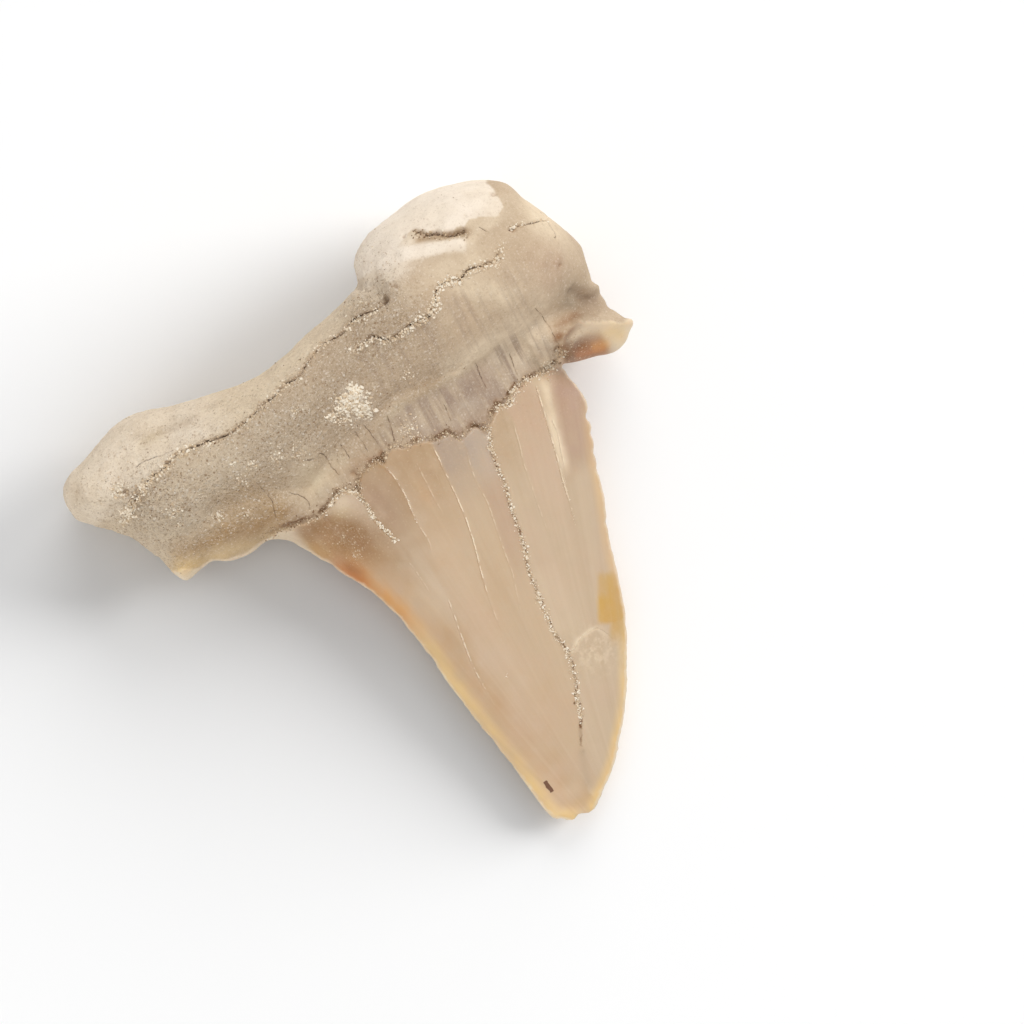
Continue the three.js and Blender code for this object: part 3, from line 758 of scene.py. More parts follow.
PIGMENTS = {}
for row in """
    taupe 196 172 144, fawn 201 181 154, bone 226 206 178, chalk 248 234 216, ash 168 149 126, slate 164 144 130,
    clay 166 137 106, moss 214 196 166, olive 196 174 120, honey 203 180 152, butter 230 196 138, cream 236 216 186,
    pearl 196 180 162, mauve 184 153 133, rose 206 174 150, umber 146 102 66, rust 196 120 58, amber 220 160 92,
    ochre 204 162 88, cocoa 108 66 38, dusk 150 128 112, caramel 196 164 128, drab 174 143 108, toffee 154 114 76,
    bronze 142 105 56, soot 68 50 36, grit 162 130 98, bark 116 88 62, silt 240 222 194, walnut 122 86 54,
    seal 104 60 22, quartz 130 100 70, shell 224 201 168, lime 252 241 222
""".split(","):
    name, *screen = row.split()
    PIGMENTS[name] = pigment(*map(int, screen))

MASKS = {"blob": blob, "stripe": stripe, "x": X, "y": Y, "lumps": medium, "bare": bare, "band": band}
MASKS |= {"basal": basal, "lip": lip, "margin": margin, "enamel": enamel}
uneven = 1 + 0.35 * coarse + 0.3 * medium
paint = np.tile(PIGMENTS["taupe"], (len(points), 1))


def stains_and_painted_light(text):
    """Mixes pigments into the paint, one after the other. Each row is a pigment, its strength, and what bounds it:
    a shape with its numbers, a field, or a field and the two values that it fades in between."""
    global paint
    for row in text.split(","):
        colour, strength, *words = row.split()
        mask = 1.0
        while words:
            given, numbers = MASKS[words.pop(0)], []
            while words and not words[0][0].isalpha():
                numbers.append(float(words.pop(0)))
            if callable(given):
                given = given(*numbers)
            elif numbers:
                given = step(*numbers, given)
            mask = mask * given
        amount = np.clip(mask * float(strength) * uneven, 0, 1)
        paint = paint + (PIGMENTS[colour] - paint) * amount[:, None]


# %% Root colours
CHALK_EDGE = table("""
    5 24.2, 8.6 23.7, 10.6 24.2, 12 24.5, 13.2 25, 14.7 24.1, 15.8 23.3, 17.3 23.1, 18 23.4, 19.3 22.9, 20.6 22.5,
    21.5 23.1
""")
chalk_x, chalk_y = np.array(CHALK_EDGE).T
chalky = step(-0.08, 0.14, Y - np.interp(X, chalk_x, chalk_y) + 0.2 * medium + 0.1 * fine) * bare
chalky *= step(21.35, 21.05, X + 0.2 * medium) * step(4.5, 6.5, X)
side, along = line_distance([(10.4, 24.1), (12.8, 23.2), (17, 21.5)])
cream_edge = step(0.85, 0.2, np.abs(side) + 0.12 * medium + 0.08 * fine) * step(0, 0.15, along) * step(1, 0.9, along)
MASKS |= {"chalky": chalky, "cream_edge": cream_edge, "margin_shade": np.exp(-(((past_line + 0.3) / 0.35) ** 2))}
# Painted light among these: the cream blobs at 8.6 22.6 and 6.6 23.4 and the chalk blob at 8.4 22.8 are partly the
# pale sand's own colour and partly painted light that lifts the shade of the valley between the swellings there; the
# clay stripe from 12.6 24.3 to 18.2 22.2 is painted shade under the ledge below the fissure; the fawn over the lip
# and the bone stripe from 8.6 13 to 19.4 13.4 are a painted highlight where the lip catches the light; the chalk blob
# at 1.2 14.6 is partly the crumb patch's pale colour and partly painted light between the shadows of the crumbs.
stains_and_painted_light("""
    fawn 1 blob -17 15 9 5, bone 1 blob -16 14 9 4 10, cream 0.9 stripe -24.6 15 -17.6 8.6 1.4,
    bone 0.8 blob -14.5 15.2 5 2.8, bone 1 basal x 12 4, cream 0.8 basal x 8 -6, cream 0.7 blob 8.6 22.6 1.2 0.9,
    cream 0.9 blob 6.6 23.4 2 1.4, chalk 0.9 blob 8.4 22.8 2.8 1.2, chalk 0.45 basal x -7 -13,
    bone 0.5 blob -7.6 17.4 3 1, cream 0.8 blob -22.8 15.3 2.2 1.6, chalk 1 blob 1.2 14.6 0.9 1.4,
    bone 0.7 basal x 4 9, chalk 1.5 chalky, chalk 1 blob 9.8 24 2.6 1.5, clay 0.8 stripe 12.6 24.3 18.2 22.2 0.4,
    chalk 1.6 cream_edge, cream 1 blob 23.9 20.8 1.7 4, cream 0.6 stripe 13.6 19.6 18.8 14.6 1.1,
    bone 0.6 blob 19.8 13.8 1.2 1.8, bone 0.55 blob 13.4 20.6 5 1.4, cream 0.4 blob 17 20 1.8 1.2,
    bone 0.5 blob 20.4 22.6 1.4 1.6, umber 0.35 blob 22.4 16.8 1.2 1.7 lumps -0.4 0.6,
    rose 0.4 blob 22 16.4 1.8 2.2, cream 0.9 blob 25.4 13 0.6 1.2, olive 0.35 blob -16 21.1 1.3 0.5 8,
    clay 0.25 stripe -17.6 22 -14.8 20.6 0.4, clay 0.3 stripe -15.6 21 -11 20.4 0.4, ash 0.9 blob 22.8 12.6 1.7 2.2,
    dusk 0.5 blob 24 12.2 0.6 1.6 25, bone 0.4 stripe 23.4 11 25.9 9.4 0.4, caramel 0.9 blob -11.8 11.8 2.6 2,
    ash 0.2 blob -2 15 2 1.6, ash 0.35 blob 1.8 17 2.6 1.4, bone 0.55 blob -4.6 13.3 1.6 1,
    cream 0.8 blob -18.6 12.2 2.4 1, bone 0.4 blob -12.6 15.2 1.4 1, bone 0.4 blob -2.4 16.6 1.4 1,
    toffee 0.65 stripe -20.8 11.2 -7 8.8 1, fawn 0.9 stripe -21.4 9.6 -8.6 7.8 0.9,
    butter 0.4 stripe -21.4 9.4 -8.6 7.6 0.8, toffee 0.5 blob -12.4 9.4 1.5 0.8,
    ochre 0.25 stripe -21.4 10.4 -7.4 9.8 1.4, ochre 0.15 blob -11.6 12.4 2.4 1.5, bone 0.6 blob -21.5 13 1 2.4,
    moss 0.95 blob -5.4 10.4 1.9 1.7, moss 0.6 blob -2.6 10.8 0.9 0.8, slate 0.75 band x 1 6 x 16 12,
    pearl 0.8 band x 12.5 15, dusk 0.7 band blob 9.4 10.2 3 1.1, bone 0.15 band blob 14.4 11 2.4 1.6,
    ash 0.6 band blob 1.6 10.8 3 1.3, umber 0.35 blob -1.6 9.6 1.3 0.7 bare, umber 0.9 blob 21.2 11.5 1.4 0.5,
    slate 0.6 stripe 13.5 11.6 13.2 9 0.5, fawn 0.9 lip, clay 0.5 lip blob 6.6 12.5 1.5 1,
    clay 0.4 blob 7.8 13 1.3 0.7, bone 0.75 stripe 8.6 13 19.4 13.4 1, bone 0.8 blob 17.4 11.2 2.4 2.2,
    fawn 0.6 band blob 6 10.6 0.9 1, pearl 0.6 blob 9.8 9.3 1 0.7, umber 0.8 margin margin_shade,
    cream 1.2 blob 17.9 8.9 0.9 0.6, umber 0.8 blob 19.9 10.6 0.7 0.5
""")
print("root painted:", int(bare.sum()), "points")

# %% [markdown]
# The crown's long hairline cracks let the ground water in at different places, so the strips of enamel between them
# took slightly different tints. Each strip is painted on its own, strongest near the root and fading towards the tip.

# %% Strips of enamel
UPRIGHT_LINES = [line for _, line in SILT_CRACKS[:-1]] + [PEAK_CRACK[3:], CROWN_CRACK]


def strip(west, east, low, high):
    """A mask between two upright lines, given by their numbers, fading out downwards between two heights."""
    sides = []
    for k in (west, east):
        line_x, line_y = np.array(sorted(UPRIGHT_LINES[int(k)], key=lambda place: place[1])).T
        sides.append(np.interp(Y, line_y, line_x))
    return step(-0.1, 0.25, X - sides[0]) * step(-0.1, 0.25, sides[1] - X) * step(low, high, Y)


def inset(distance, width):
    """A soft band along the left cutting edge, at some distance from it."""
    return np.exp(-(((edge_left - distance) / width) ** 2))


crown = enamel * step(-12, -10.5, X) * step(19.6, 19, X)
MASKS |= {"crown": crown, "strip": strip, "inset": inset, "outer": X - 15.2 - 0.36 * (Y - 3)}
stains_and_painted_light("""
    honey 1 enamel, caramel 0.35 crown strip 7 10 -30 -24, caramel 0.35 crown stripe 1.2 6 0.6 -24 2.4,
    drab 0.5 crown x -3 0 y -1 8, drab 1.1 crown strip 9 0 -3 6, clay 0.9 crown blob -1.2 5.6 1.2 3,
    umber 0.4 crown blob -1.3 5.4 1.1 2.4, amber 0.2 crown blob 2.5 4.6 0.6 1.6, drab 0.4 crown strip 0 2 -2 8,
    pearl 0.35 crown strip 2 3 -2 7, pearl 0.75 crown strip 3 10 0.5 5.5, slate 0.45 crown strip 2 10 1 7,
    mauve 0.4 crown strip 3 10 -9 -1 y 4 1, rose 0.4 crown strip 4 5 -10 3, cream 0.55 crown strip 5 6 0 3,
    drab 0.75 crown outer -0.1 0.4 y -1.5 1.5, mauve 0.8 crown outer -0.1 0.4 y -1.5 1.5,
    cream 0.4 crown blob 16.6 8 1.2 1, cream 0.9 crown stripe 16.9 8.6 14.2 -1 0.5
""")

# %% Stains of the crown, with painted glow and painted shade
slant_x, slant_y = 0.866 * X - 0.5 * Y, 0.5 * X + 0.866 * Y
upper_patch = step(15.1, 15.6, slant_x) * step(-6.9, -6.1, slant_y) * step(-1.8, -2.4, slant_y)
lower_patch = step(16.1, 16.8, slant_x) * step(-9, -7, slant_y) * step(-5.5, -6.5, slant_y)
branch_side, branch_run = line_distance(CROWN_BRANCH)
MASKS |= {
    "left": edge_left,
    "right": edge_right,
    # The two rim masks and the rim distance carry a painted glow along the thin cutting edges.
    "left_rim": crown * step(1.9, 0.5, edge_left),
    "right_rim": crown * step(1.3, 0.3, edge_right),
    "rim": np.minimum(edge_left, edge_right) + 0.1 * fine,
    "ochre_patch": np.maximum(upper_patch * (0.75 + 0.25 * step(-2, -5, slant_y)), 0.6 * lower_patch),
    "branch": np.exp(-((branch_side / 0.2) ** 2)),
    "branch_run": branch_run,
}
# Painted light among these: the butter and amber in the two rim masks, and the cream in the narrow rim band along
# both cutting edges, are a painted glow of light shining through the thin enamel of the edges.
# The ash stripe from 3.2 -22.2 to 1.8 -26.2 is painted shade of a shallow groove that carries the crown crack on
# towards the tip.
stains_and_painted_light("""
    caramel 1 crown blob -8 5.2 4 2.2 -35, olive 0.45 crown blob -8.4 5 1.8 1.2 -35,
    clay 0.7 crown blob -7.4 6.6 2.2 0.9 -20, drab 0.8 crown blob -4.4 3.6 3.6 2 -50,
    toffee 1 crown blob -5.4 4.2 2.7 1.5 -62, toffee 0.7 crown stripe -11.4 7.2 -4.4 6 0.8,
    umber 0.9 crown blob -5.2 4.1 1.9 1.2 -60, cocoa 0.4 crown blob -5.6 4.4 1 0.7 -60,
    caramel 0.5 crown blob -5.8 2.9 0.8 0.6 -50, bronze 0.75 crown blob -6.2 5.2 3.4 1.9 -40,
    olive 0.4 crown blob -4.7 6.9 0.8 0.7, bone 0.5 crown blob -4.5 7.4 0.8 0.6,
    drab 0.6 crown blob -3 0.4 1.6 2.8 20, rust 0.45 crown blob -6.6 1.9 1.6 0.8 -50,
    butter 0.5 crown blob 0.6 -27.6 2.2 1.2, cream 0.9 crown blob 0.7 -27.4 1.8 0.8,
    chalk 1 crown blob 1 -27.8 1.5 0.45, drab 0.45 crown inset 2.6 1.4 y -4 -8,
    ash 0.4 crown stripe 3.2 -22.2 1.8 -26.2 0.4, amber 0.2 crown left 5 1.5 y 8 5,
    bone 0.4 crown blob 0.5 -25.4 1 0.8, bone 0.2 crown stripe 8 -6 7.4 -13.4 1.2, butter 0.9 left_rim y -2 -6,
    caramel 0.35 crown inset 1.7 0.4 y -14 -18, amber 0.95 crown left 2.1 0.6 y 3.5 2 y -8 -3,
    rust 1.2 crown left 1.5 0.4 blob -6.8 1.2 1.5 1.8 60, rust 0.8 crown blob -6.8 1.9 1.5 0.7 -55,
    umber 0.5 crown blob -6.7 2.2 1.3 0.6 -55, amber 0.3 right_rim y 4 1.5 y -16 -6,
    butter 0.5 right_rim y 6 2 y -16 -6, butter 0.9 right_rim y -8 -15, ochre 1.1 crown right 0.15 0.55 ochre_patch,
    cream 0.75 crown branch branch_run 1 0.5, cream 0.9 crown rim 0.45 0.2
""")

# %% Stains of the cusps
worn_cusp = enamel * step(-11, -12, X)
worn_edge, _ = line_distance([section[:2] for section in WORN_CUSP[2][1:]])
cusp_edge, _ = line_distance([(18.9, 8.35), (22.7, 7.4), (24.5, 7.05), (25.4, 7.6)])
MASKS |= {
    "worn_cusp": worn_cusp,
    "worn_edge": np.abs(worn_edge) + 0.12 * medium,
    "sound_cusp": enamel * step(19, 19.5, X),
    "cusp_base": X - 0.4 * (Y - 8),
    "cusp_edge": np.abs(cusp_edge),
}
stains_and_painted_light("""
    bone 1 enamel x -8.5 -10, cream 0.9 enamel blob -20 9.2 1.3 1, butter 0.7 blob -20 9.6 1.2 0.8,
    cream 0.9 worn_cusp worn_edge 0.4 0.15, cream 0.8 blob 18.5 9 0.9 0.5,
    cream 0.6 sound_cusp blob 22.8 9.9 1.8 0.8 -25, umber 1 sound_cusp blob 21 8.9 1.7 1.1,
    cocoa 0.8 sound_cusp cusp_base 21.6 19.4, umber 0.8 sound_cusp stripe 20 8.1 23.6 7.8 0.9,
    cream 0.5 sound_cusp blob 21.2 10 1.2 0.5, rust 0.65 sound_cusp stripe 20 8.1 23.4 7.8 0.7,
    amber 0.5 sound_cusp stripe 21.8 8.3 23.8 7.9 0.5, cream 0.8 sound_cusp x 23 24.6,
    umber 0.6 sound_cusp cusp_edge 0.4 0.1 x 23.4 22, butter 0.7 sound_cusp blob 24.6 8.5 1.2 0.9 -30
""")
print("enamel painted:", int(enamel.sum()), "points")

# %% Attributes for the materials
SPOT_HALF_WIDTH, SPOT_HALF_LENGTH = 0.19, 0.58

ribbed = 0.7 * band * (0.35 + 0.65 * step(-2, 4, X))
ribbed = ribbed + 0.35 * step(2, 5, X) * step(21, 18, X) * step(12.5, 14, Y) * step(19, 17.5, Y)
browned = blob(-5.6, 4.6, 2.8, 1.7, -50) + blob(20.6, 8.8, 1.6, 1.2)
spot = np.maximum(np.abs(X + 1.1 + 0.1 * (Y + 24)) / SPOT_HALF_WIDTH, np.abs(Y + 23.95) / SPOT_HALF_LENGTH)
KEPT = {
    "paint": paint,
    "enamel_side": past_line,
    "margin": margin,
    "ribbed": ribbed * bare,
    "sandy": sandy,
    # painted shade inside cracks, pits and pores
    "hollow": hollow,
    "crack_side": crack_side,
    "crack_near": crack_near,
    "silt_side": silt_side,
    "silt_near": silt_near,
    "on_crown": crown,
    "scuffed": crown * blob(8.6, -15.3, 1.8, 1.9),
    "grainy": enamel * (browned + 0.6 * worn_cusp + 0.12 * step(1, 7, Y)),
    "spot": step(1.15, 0.85, spot),
}

for name, values in KEPT.items():
    kind, slot = ("FLOAT_COLOR", "color") if values.ndim == 2 else ("FLOAT", "value")
    if values.ndim == 2:
        values = np.hstack([values, np.ones((len(values), 1))])
    tooth.data.attributes.new(name, kind, "POINT").data.foreach_set(slot, values.ravel())
print("attributes:", len(tooth.data.attributes))

# %% [markdown]
# ## Sand
#
# The grains still stuck in the cracks are real little stones that stand proud and cast shadows, so they are
# geometry. Thousands of separate objects would be slow, and particles are lost when the model is exported, so all
# the grains of one deposit go into one mesh, straight from arrays. Each is a rough ball of twenty faces, turned
# and squeezed at random, dropped straight down onto the skin and half sunk in it. The random numbers start from a
# fixed seed, so the sand lies the same way each time.

# %% Grain kit
DROP_HEIGHT = 40
STEEPEST = 0.2  # grains roll off where the skin's normal points up by less than this
STANDS_OUT = 0.04  # how far a grain's middle lies above the skin, as a share of its size
TONE_SPREAD = 0.26

rng = np.random.default_rng(7)
skin = BVHTree.FromPolygons(points.tolist(), corners.tolist())

pebble = bmesh.new()
bmesh.ops.create_icosphere(pebble, subdivisions=1, radius=0.5)
PEBBLE_POINTS = np.array([v.co for v in pebble.verts])
PEBBLE_FACES = np.array([[v.index for v in f.verts] for f in pebble.faces])
pebble.free()


def along_line(line, count, spread, aside):
    """Places scattered along a crack, as seen from above."""
    path = through([(*place, 0) for place in line], 6 * len(line))[:, :2]
    at = rng.uniform(0, len(path) - 1.001, count)
    k = at.astype(int)
    places = path[k] + (path[k + 1] - path[k]) * (at - k)[:, None]
    return places + rng.normal(0, spread, (count, 2)) + (0, aside)


def around(x, y, radius, count):
    """Places scattered round a spot."""
    return rng.normal(0, radius / 2, (int(count), 2)) + (x, y)


def sizes(count, smallest, largest):
    """Grain sizes in millimetres, with more small ones than large ones."""
    return smallest + (largest - smallest) * rng.random(count) ** 2


def grains(places, size, tone):
    """Points, faces and tones of grains dropped on the tooth. A tone runs from 0, brown, to 1, white."""
    hits = [skin.ray_cast((x, y, DROP_HEIGHT), (0, 0, -1)) for x, y in places.tolist()]
    landed = np.array([hit[0] is not None and hit[1].z > STEEPEST for hit in hits])
    spots = np.array([hit[0] + hit[1] * STANDS_OUT * s for hit, s, ok in zip(hits, size, landed) if ok])
    size, count = size[landed], int(landed.sum())
    turns, _ = np.linalg.qr(rng.normal(size=(count, 3, 3)))
    turns *= np.sign(np.linalg.det(turns))[:, None, None]
    rough = PEBBLE_POINTS * rng.uniform(0.55, 1.3, (count, len(PEBBLE_POINTS), 1))
    rough = rough * rng.uniform(0.5, 1.25, (count, 1, 3)) * size[:, None, None]
    made = np.einsum("nij,nkj->nki", turns, rough) + spots[:, None, :]
    faces = PEBBLE_FACES + np.arange(count)[:, None, None] * len(PEBBLE_POINTS)
    tones = np.clip(rng.normal(tone, TONE_SPREAD, count), 0, 1)
    return made.reshape(-1, 3), faces.reshape(-1, 3), np.repeat(tones, len(PEBBLE_POINTS))


def deposit(name, batches):
    """One mesh of all the grains in the batches, each a set of places with smallest and largest size and tone."""
    all_points, all_faces, all_tones, start = [], [], [], 0
    for places, smallest, largest, tone in batches:
        made, faces, tones = grains(places, sizes(len(places), smallest, largest), tone)
        all_points.append(made)
        all_faces.append(faces + start)
        all_tones.append(tones)
        start += len(made)
    piece = mesh_object(name, np.vstack(all_points), np.vstack(all_faces))
    piece.data.attributes.new("tone", "FLOAT", "POINT").data.foreach_set("value", np.concatenate(all_tones))
    print(name, len(piece.data.polygons), "triangles")
    return piece


# %% Sand in the cracks
MARGIN_WEST = [place for place in ENAMEL_LINE if -13 < place[0] < -2]
MARGIN_EAST = [place for place in ENAMEL_LINE if -2.4 < place[0] < 19.5]
# Each row as the line, how many grains, how far they spread and lie aside, smallest and largest size, and tone.
CRACK_SAND = [
    (ROOT_CRACK, 900, 0.2, -0.12, 0.08, 0.3, 0.78),
    (ROOT_CRACK[:4], 120, 0.25, 0, 0.15, 0.42, 0.85),
    (ROOT_CRACK[:9], 160, 0.22, 0, 0.15, 0.4, 0.85),
    (LOBE_CRACK, 520, 0.18, -0.1, 0.1, 0.34, 0.82),
    (LOBE_CRACK[8:13], 150, 0.22, 0, 0.18, 0.42, 0.95),
    (LOBE_CRACK[12:], 200, 0.3, 0, 0.08, 0.24, 0.75),
    (CROWN_CRACK[:-2], 1000, 0.15, 0, 0.09, 0.28, 0.8),
    (CROWN_BRANCH[:4], 25, 0.1, 0, 0.05, 0.12, 0.95),
    (FISSURE, 150, 0.22, -0.32, 0.08, 0.28, 0.4),
    (SHELF_CRACK, 60, 0.14, 0, 0.1, 0.3, 0.8),
    (PEAK_CRACK, 420, 0.11, 0, 0.1, 0.3, 0.9),
    (UPRIGHT_LINES[0][:5], 50, 0.06, 0, 0.05, 0.13, 0.85),
    (UPRIGHT_LINES[5], 110, 0.09, 0, 0.05, 0.14, 0.8),
    (MARGIN_WEST, 260, 0.15, 0, 0.08, 0.24, 0.6),
    (MARGIN_EAST, 420, 0.16, 0.1, 0.08, 0.26, 0.55),
    (MARGIN_EAST[-7:-2], 200, 0.2, 0, 0.1, 0.34, 0.88),
    (MARGIN_EAST, 600, 0.24, 0.3, 0.07, 0.2, 0.35),
    (MARGIN_WEST, 320, 0.26, 0.35, 0.07, 0.22, 0.3),
]
crack_sand = deposit("crack_sand", [(along_line(*row[:4]), *row[4:]) for row in CRACK_SAND])

# %% Crumbs on the root
LOOSE_GRAINS = 2600
# Each patch as x y radius, how many grains, smallest and largest size, and tone.
CRUMB_PATCHES = table("""
    1.6 15.2 0.7 150 0.2 0.5 1.0, 1.5 13.7 0.7 150 0.2 0.5 1.0, 0.6 -13.3 0.22 7 0.07 0.14 1.0,
    0.5 14.8 0.9 150 0.18 0.42 0.98, 0.8 14.4 1.6 280 0.1 0.3 0.95, -1.3 14.4 0.45 50 0.12 0.3 0.95,
    -1.35 14.5 0.5 30 0.1 0.3 0.9, -0.5 13.8 0.5 40 0.1 0.32 0.92, -7.2 13.8 0.8 60 0.1 0.28 0.9,
    -5.3 13 0.8 45 0.1 0.25 0.85, -3.7 16.5 0.5 25 0.1 0.25 0.8, 6.6 14.4 0.6 35 0.1 0.25 0.85,
    4.1 10.2 1.2 90 0.1 0.28 0.8, -20.9 18.3 0.8 130 0.12 0.36 0.85, -21.2 16.2 0.5 90 0.12 0.36 0.98,
    -12.1 10.8 0.6 40 0.1 0.3 0.8, -11 13.4 0.7 45 0.1 0.3 0.85, 21.1 20.95 0.1 2 0.5 0.6 1.0,
    -9.6 14.3 0.5 40 0.1 0.28 0.85, -10.9 15.3 0.35 25 0.1 0.28 0.85, -14.5 11.9 0.5 45 0.1 0.3 0.85,
    -14.5 14.3 0.3 20 0.1 0.25 0.85, -18 12.9 0.35 25 0.1 0.3 0.85, -17.8 14.3 0.9 60 0.1 0.28 0.85,
    -19.6 17 0.7 60 0.12 0.34 0.3, 19.4 9.4 0.6 50 0.1 0.25 0.75, 17.8 8.8 0.7 70 0.1 0.28 0.95,
    -5.7 2.9 0.9 60 0.06 0.14 0.85, 9.9 17.9 0.5 50 0.12 0.32 0.95, 5.6 22 1.2 60 0.12 0.3 0.6
""")

clumped = np.clip(0.25 + 1.2 * medium + 0.8 * coarse, 0.05, 1.5) * sandy**2 * upward
chosen = rng.choice(len(points), LOOSE_GRAINS, p=clumped / clumped.sum())
batches = [(around(*patch[:4]), *patch[4:]) for patch in CRUMB_PATCHES]
batches.append((points[chosen, :2] + rng.normal(0, 0.05, (LOOSE_GRAINS, 2)), 0.05, 0.16, 0.48))
root_crumbs = deposit("root_crumbs", batches)

# %% [markdown]
# ## Shared effects
#
# The root, the enamel and the sand are different stuff, but they share effects: little light and dark grains, cloudy
# patches, streaks along the way the tooth grew, and sharp ragged lines. Each effect is a node group, built once. It
# takes a colour in and gives a changed colour out, so that effects can be put one after the other like coats of
# paint. Sizes are in millimetres.

# %% Node helpers
def coloured(name):
    return (*map(float, PIGMENTS[name]), 1.0)


def spaced(settings):
    """The same settings, with each socket's name as Blender writes it."""
    return {name.replace("_", " "): value for name, value in settings.items()}


def add(tree, kind, inputs=None, **settings):
    """Adds a node. Each input gets a number, a pigment, or another node's output, which is linked to it."""
    node = tree.nodes.new("ShaderNode" + kind)
    for name, value in settings.items():
        setattr(node, name, value)
    for socket, value in (inputs or {}).items():
        if isinstance(value, bpy.types.NodeSocket):
            tree.links.new(value, node.inputs[socket])
        else:
            node.inputs[socket].default_value = coloured(value) if isinstance(value, str) else value
    return node


def join(node, **values):
    """Links outputs of other nodes to a node's inputs."""
    for socket, value in spaced(values).items():
        node.id_data.links.new(value, node.inputs[socket])


def math_of(operation, a, b):
    """Arithmetic on two values, in the tree of the one that is an output."""
    tree = (a if isinstance(a, bpy.types.NodeSocket) else b).id_data
    return add(tree, "Math", {0: a, 1: b}, operation=operation).outputs[0]


plus, minus, times, ratio = (partial(math_of, name) for name in ("ADD", "SUBTRACT", "MULTIPLY", "DIVIDE"))


def slope(value, low, high):
    """0 below low, 1 above high. With low above high it runs the other way."""
    ends = {"Value": value, "From Min": low, "From Max": high}
    return add(value.id_data, "MapRange", ends, interpolation_type="SMOOTHSTEP").outputs[0]


def blend(amount, under, over):
    """The colour under, covered by the colour over, as far as amount says."""
    return add(under.id_data, "Mix", {0: amount, 6: under, 7: over}, data_type="RGBA").outputs[2]


def noise_at(where, scale, detail, roughness=0.5):
    look = {"Vector": where, "Scale": scale, "Detail": detail, "Roughness": roughness}
    return add(where.id_data, "TexNoise", look).outputs[0]


def group_of(name, extra, **inputs):
    """A new node group that gives a colour and one number. An input starts as a number or a pigment."""
    group = bpy.data.node_groups.new(name, "ShaderNodeTree")
    for label, start in spaced(inputs).items():
        kind = "Color" if isinstance(start, str) else "Float"
        socket = group.interface.new_socket(label, in_out="INPUT", socket_type="NodeSocket" + kind)
        socket.default_value = coloured(start) if kind == "Color" else start
    group.interface.new_socket("Colour", in_out="OUTPUT", socket_type="NodeSocketColor")
    group.interface.new_socket(extra, in_out="OUTPUT", socket_type="NodeSocketFloat")
    where = add(group, "TexCoord").outputs["Object"]
    return group, group.nodes.new("NodeGroupInput").outputs, group.nodes.new("NodeGroupOutput"), where


def layer(colour, group, **settings):
    """Lays a group's effect over a colour. Gives all that the group gives."""
    return add(colour.id_data, "Group", {"Colour": colour, **spaced(settings)}, node_tree=group).outputs


def coat(colour, group, **settings):
    """Lays a group's effect over a colour. Gives the new colour."""
    return layer(colour, group, **settings)["Colour"]


# %% Speckle
speckle, given, result, where = group_of(
    "speckle", "Height", Colour="taupe", Light="bone", Dark="umber", Grain_Size=0.3, Amount=0.5
)
scale = ratio(1 / MM, given["Grain Size"])
cells = add(speckle, "TexVoronoi", {"Vector": where, "Scale": scale, "Randomness": 1.0})
luck = add(speckle, "SeparateColor", {0: cells.outputs["Color"]}).outputs[0]
grain = slope(cells.outputs["Distance"], 0.55, 0.3)
mottle = noise_at(where, scale, 4.0, 0.85)
light = plus(times(grain, slope(luck, 0.82, 0.95)), slope(mottle, 0.52, 0.72))
dark = plus(times(grain, slope(luck, 0.12, 0.02)), slope(mottle, 0.48, 0.28))
colour = blend(times(light, given["Amount"]), given["Colour"], given["Light"])
colour = blend(times(dark, given["Amount"]), colour, given["Dark"])
join(result, Colour=colour, Height=minus(plus(light, mottle), dark))

# %% Clouds
clouds, given, result, where = group_of("clouds", "Mask", Colour="taupe", Tint="fawn", Size=3.0, Amount=0.5)
haze = noise_at(where, ratio(1 / MM, given["Size"]), 3.0, 0.55)
mask = times(slope(haze, 0.42, 0.68), given["Amount"])
join(result, Colour=blend(mask, given["Colour"], given["Tint"]), Mask=mask)

# %% Growth streaks
MID_CROWN = 8.0  # where, as a height, the streaks have the pitch that is asked for

streaks, given, result, where = group_of(
    "growth streaks", "Mask",
    Colour="honey", Tint="mauve", Pitch=1.0, Length=25.0, Focus_X=2.2, Focus_Y=-36.0, Amount=0.3,
)
x, y, _ = add(streaks, "SeparateXYZ", {0: where}).outputs
x = minus(times(x, 1 / MM), given["Focus X"])
y = minus(times(y, 1 / MM), given["Focus Y"])
fan = ratio(times(ratio(x, y), minus(MID_CROWN, given["Focus Y"])), given["Pitch"])
fanned = add(streaks, "CombineXYZ", {0: fan, 1: ratio(y, given["Length"])}).outputs[0]
fibre = noise_at(fanned, 1.0, 4.0, 0.6)
mask = times(slope(fibre, 0.45, 0.66), given["Amount"])
join(result, Colour=blend(mask, given["Colour"], given["Tint"]), Mask=mask)

# %% Ragged line
WIGGLES, BREAKS = 4500.0, 1300.0  # how many to the metre

ragged_line, given, result, where = group_of(
    "ragged line", "Mask",
    Colour="honey", Line="cream", Side=0.0, Near=1.0, Half_Width=0.08, Raggedness=0.1, Gaps=0.0,
)
wiggle = noise_at(where, WIGGLES, 2.0)
breaks = noise_at(where, BREAKS, 2.0)
shift = times(minus(wiggle, 0.5), given["Raggedness"])
away = add(ragged_line, "Math", {0: plus(given["Side"], shift)}, operation="ABSOLUTE").outputs[0]
mask = times(slope(away, given["Half Width"], times(given["Half Width"], 0.4)), given["Near"])
mask = times(mask, minus(1.0, times(slope(breaks, 0.58, 0.4), given["Gaps"])))
join(result, Colour=blend(mask, given["Colour"], given["Line"]), Mask=mask)
print("node groups:", [g.name for g in bpy.data.node_groups])

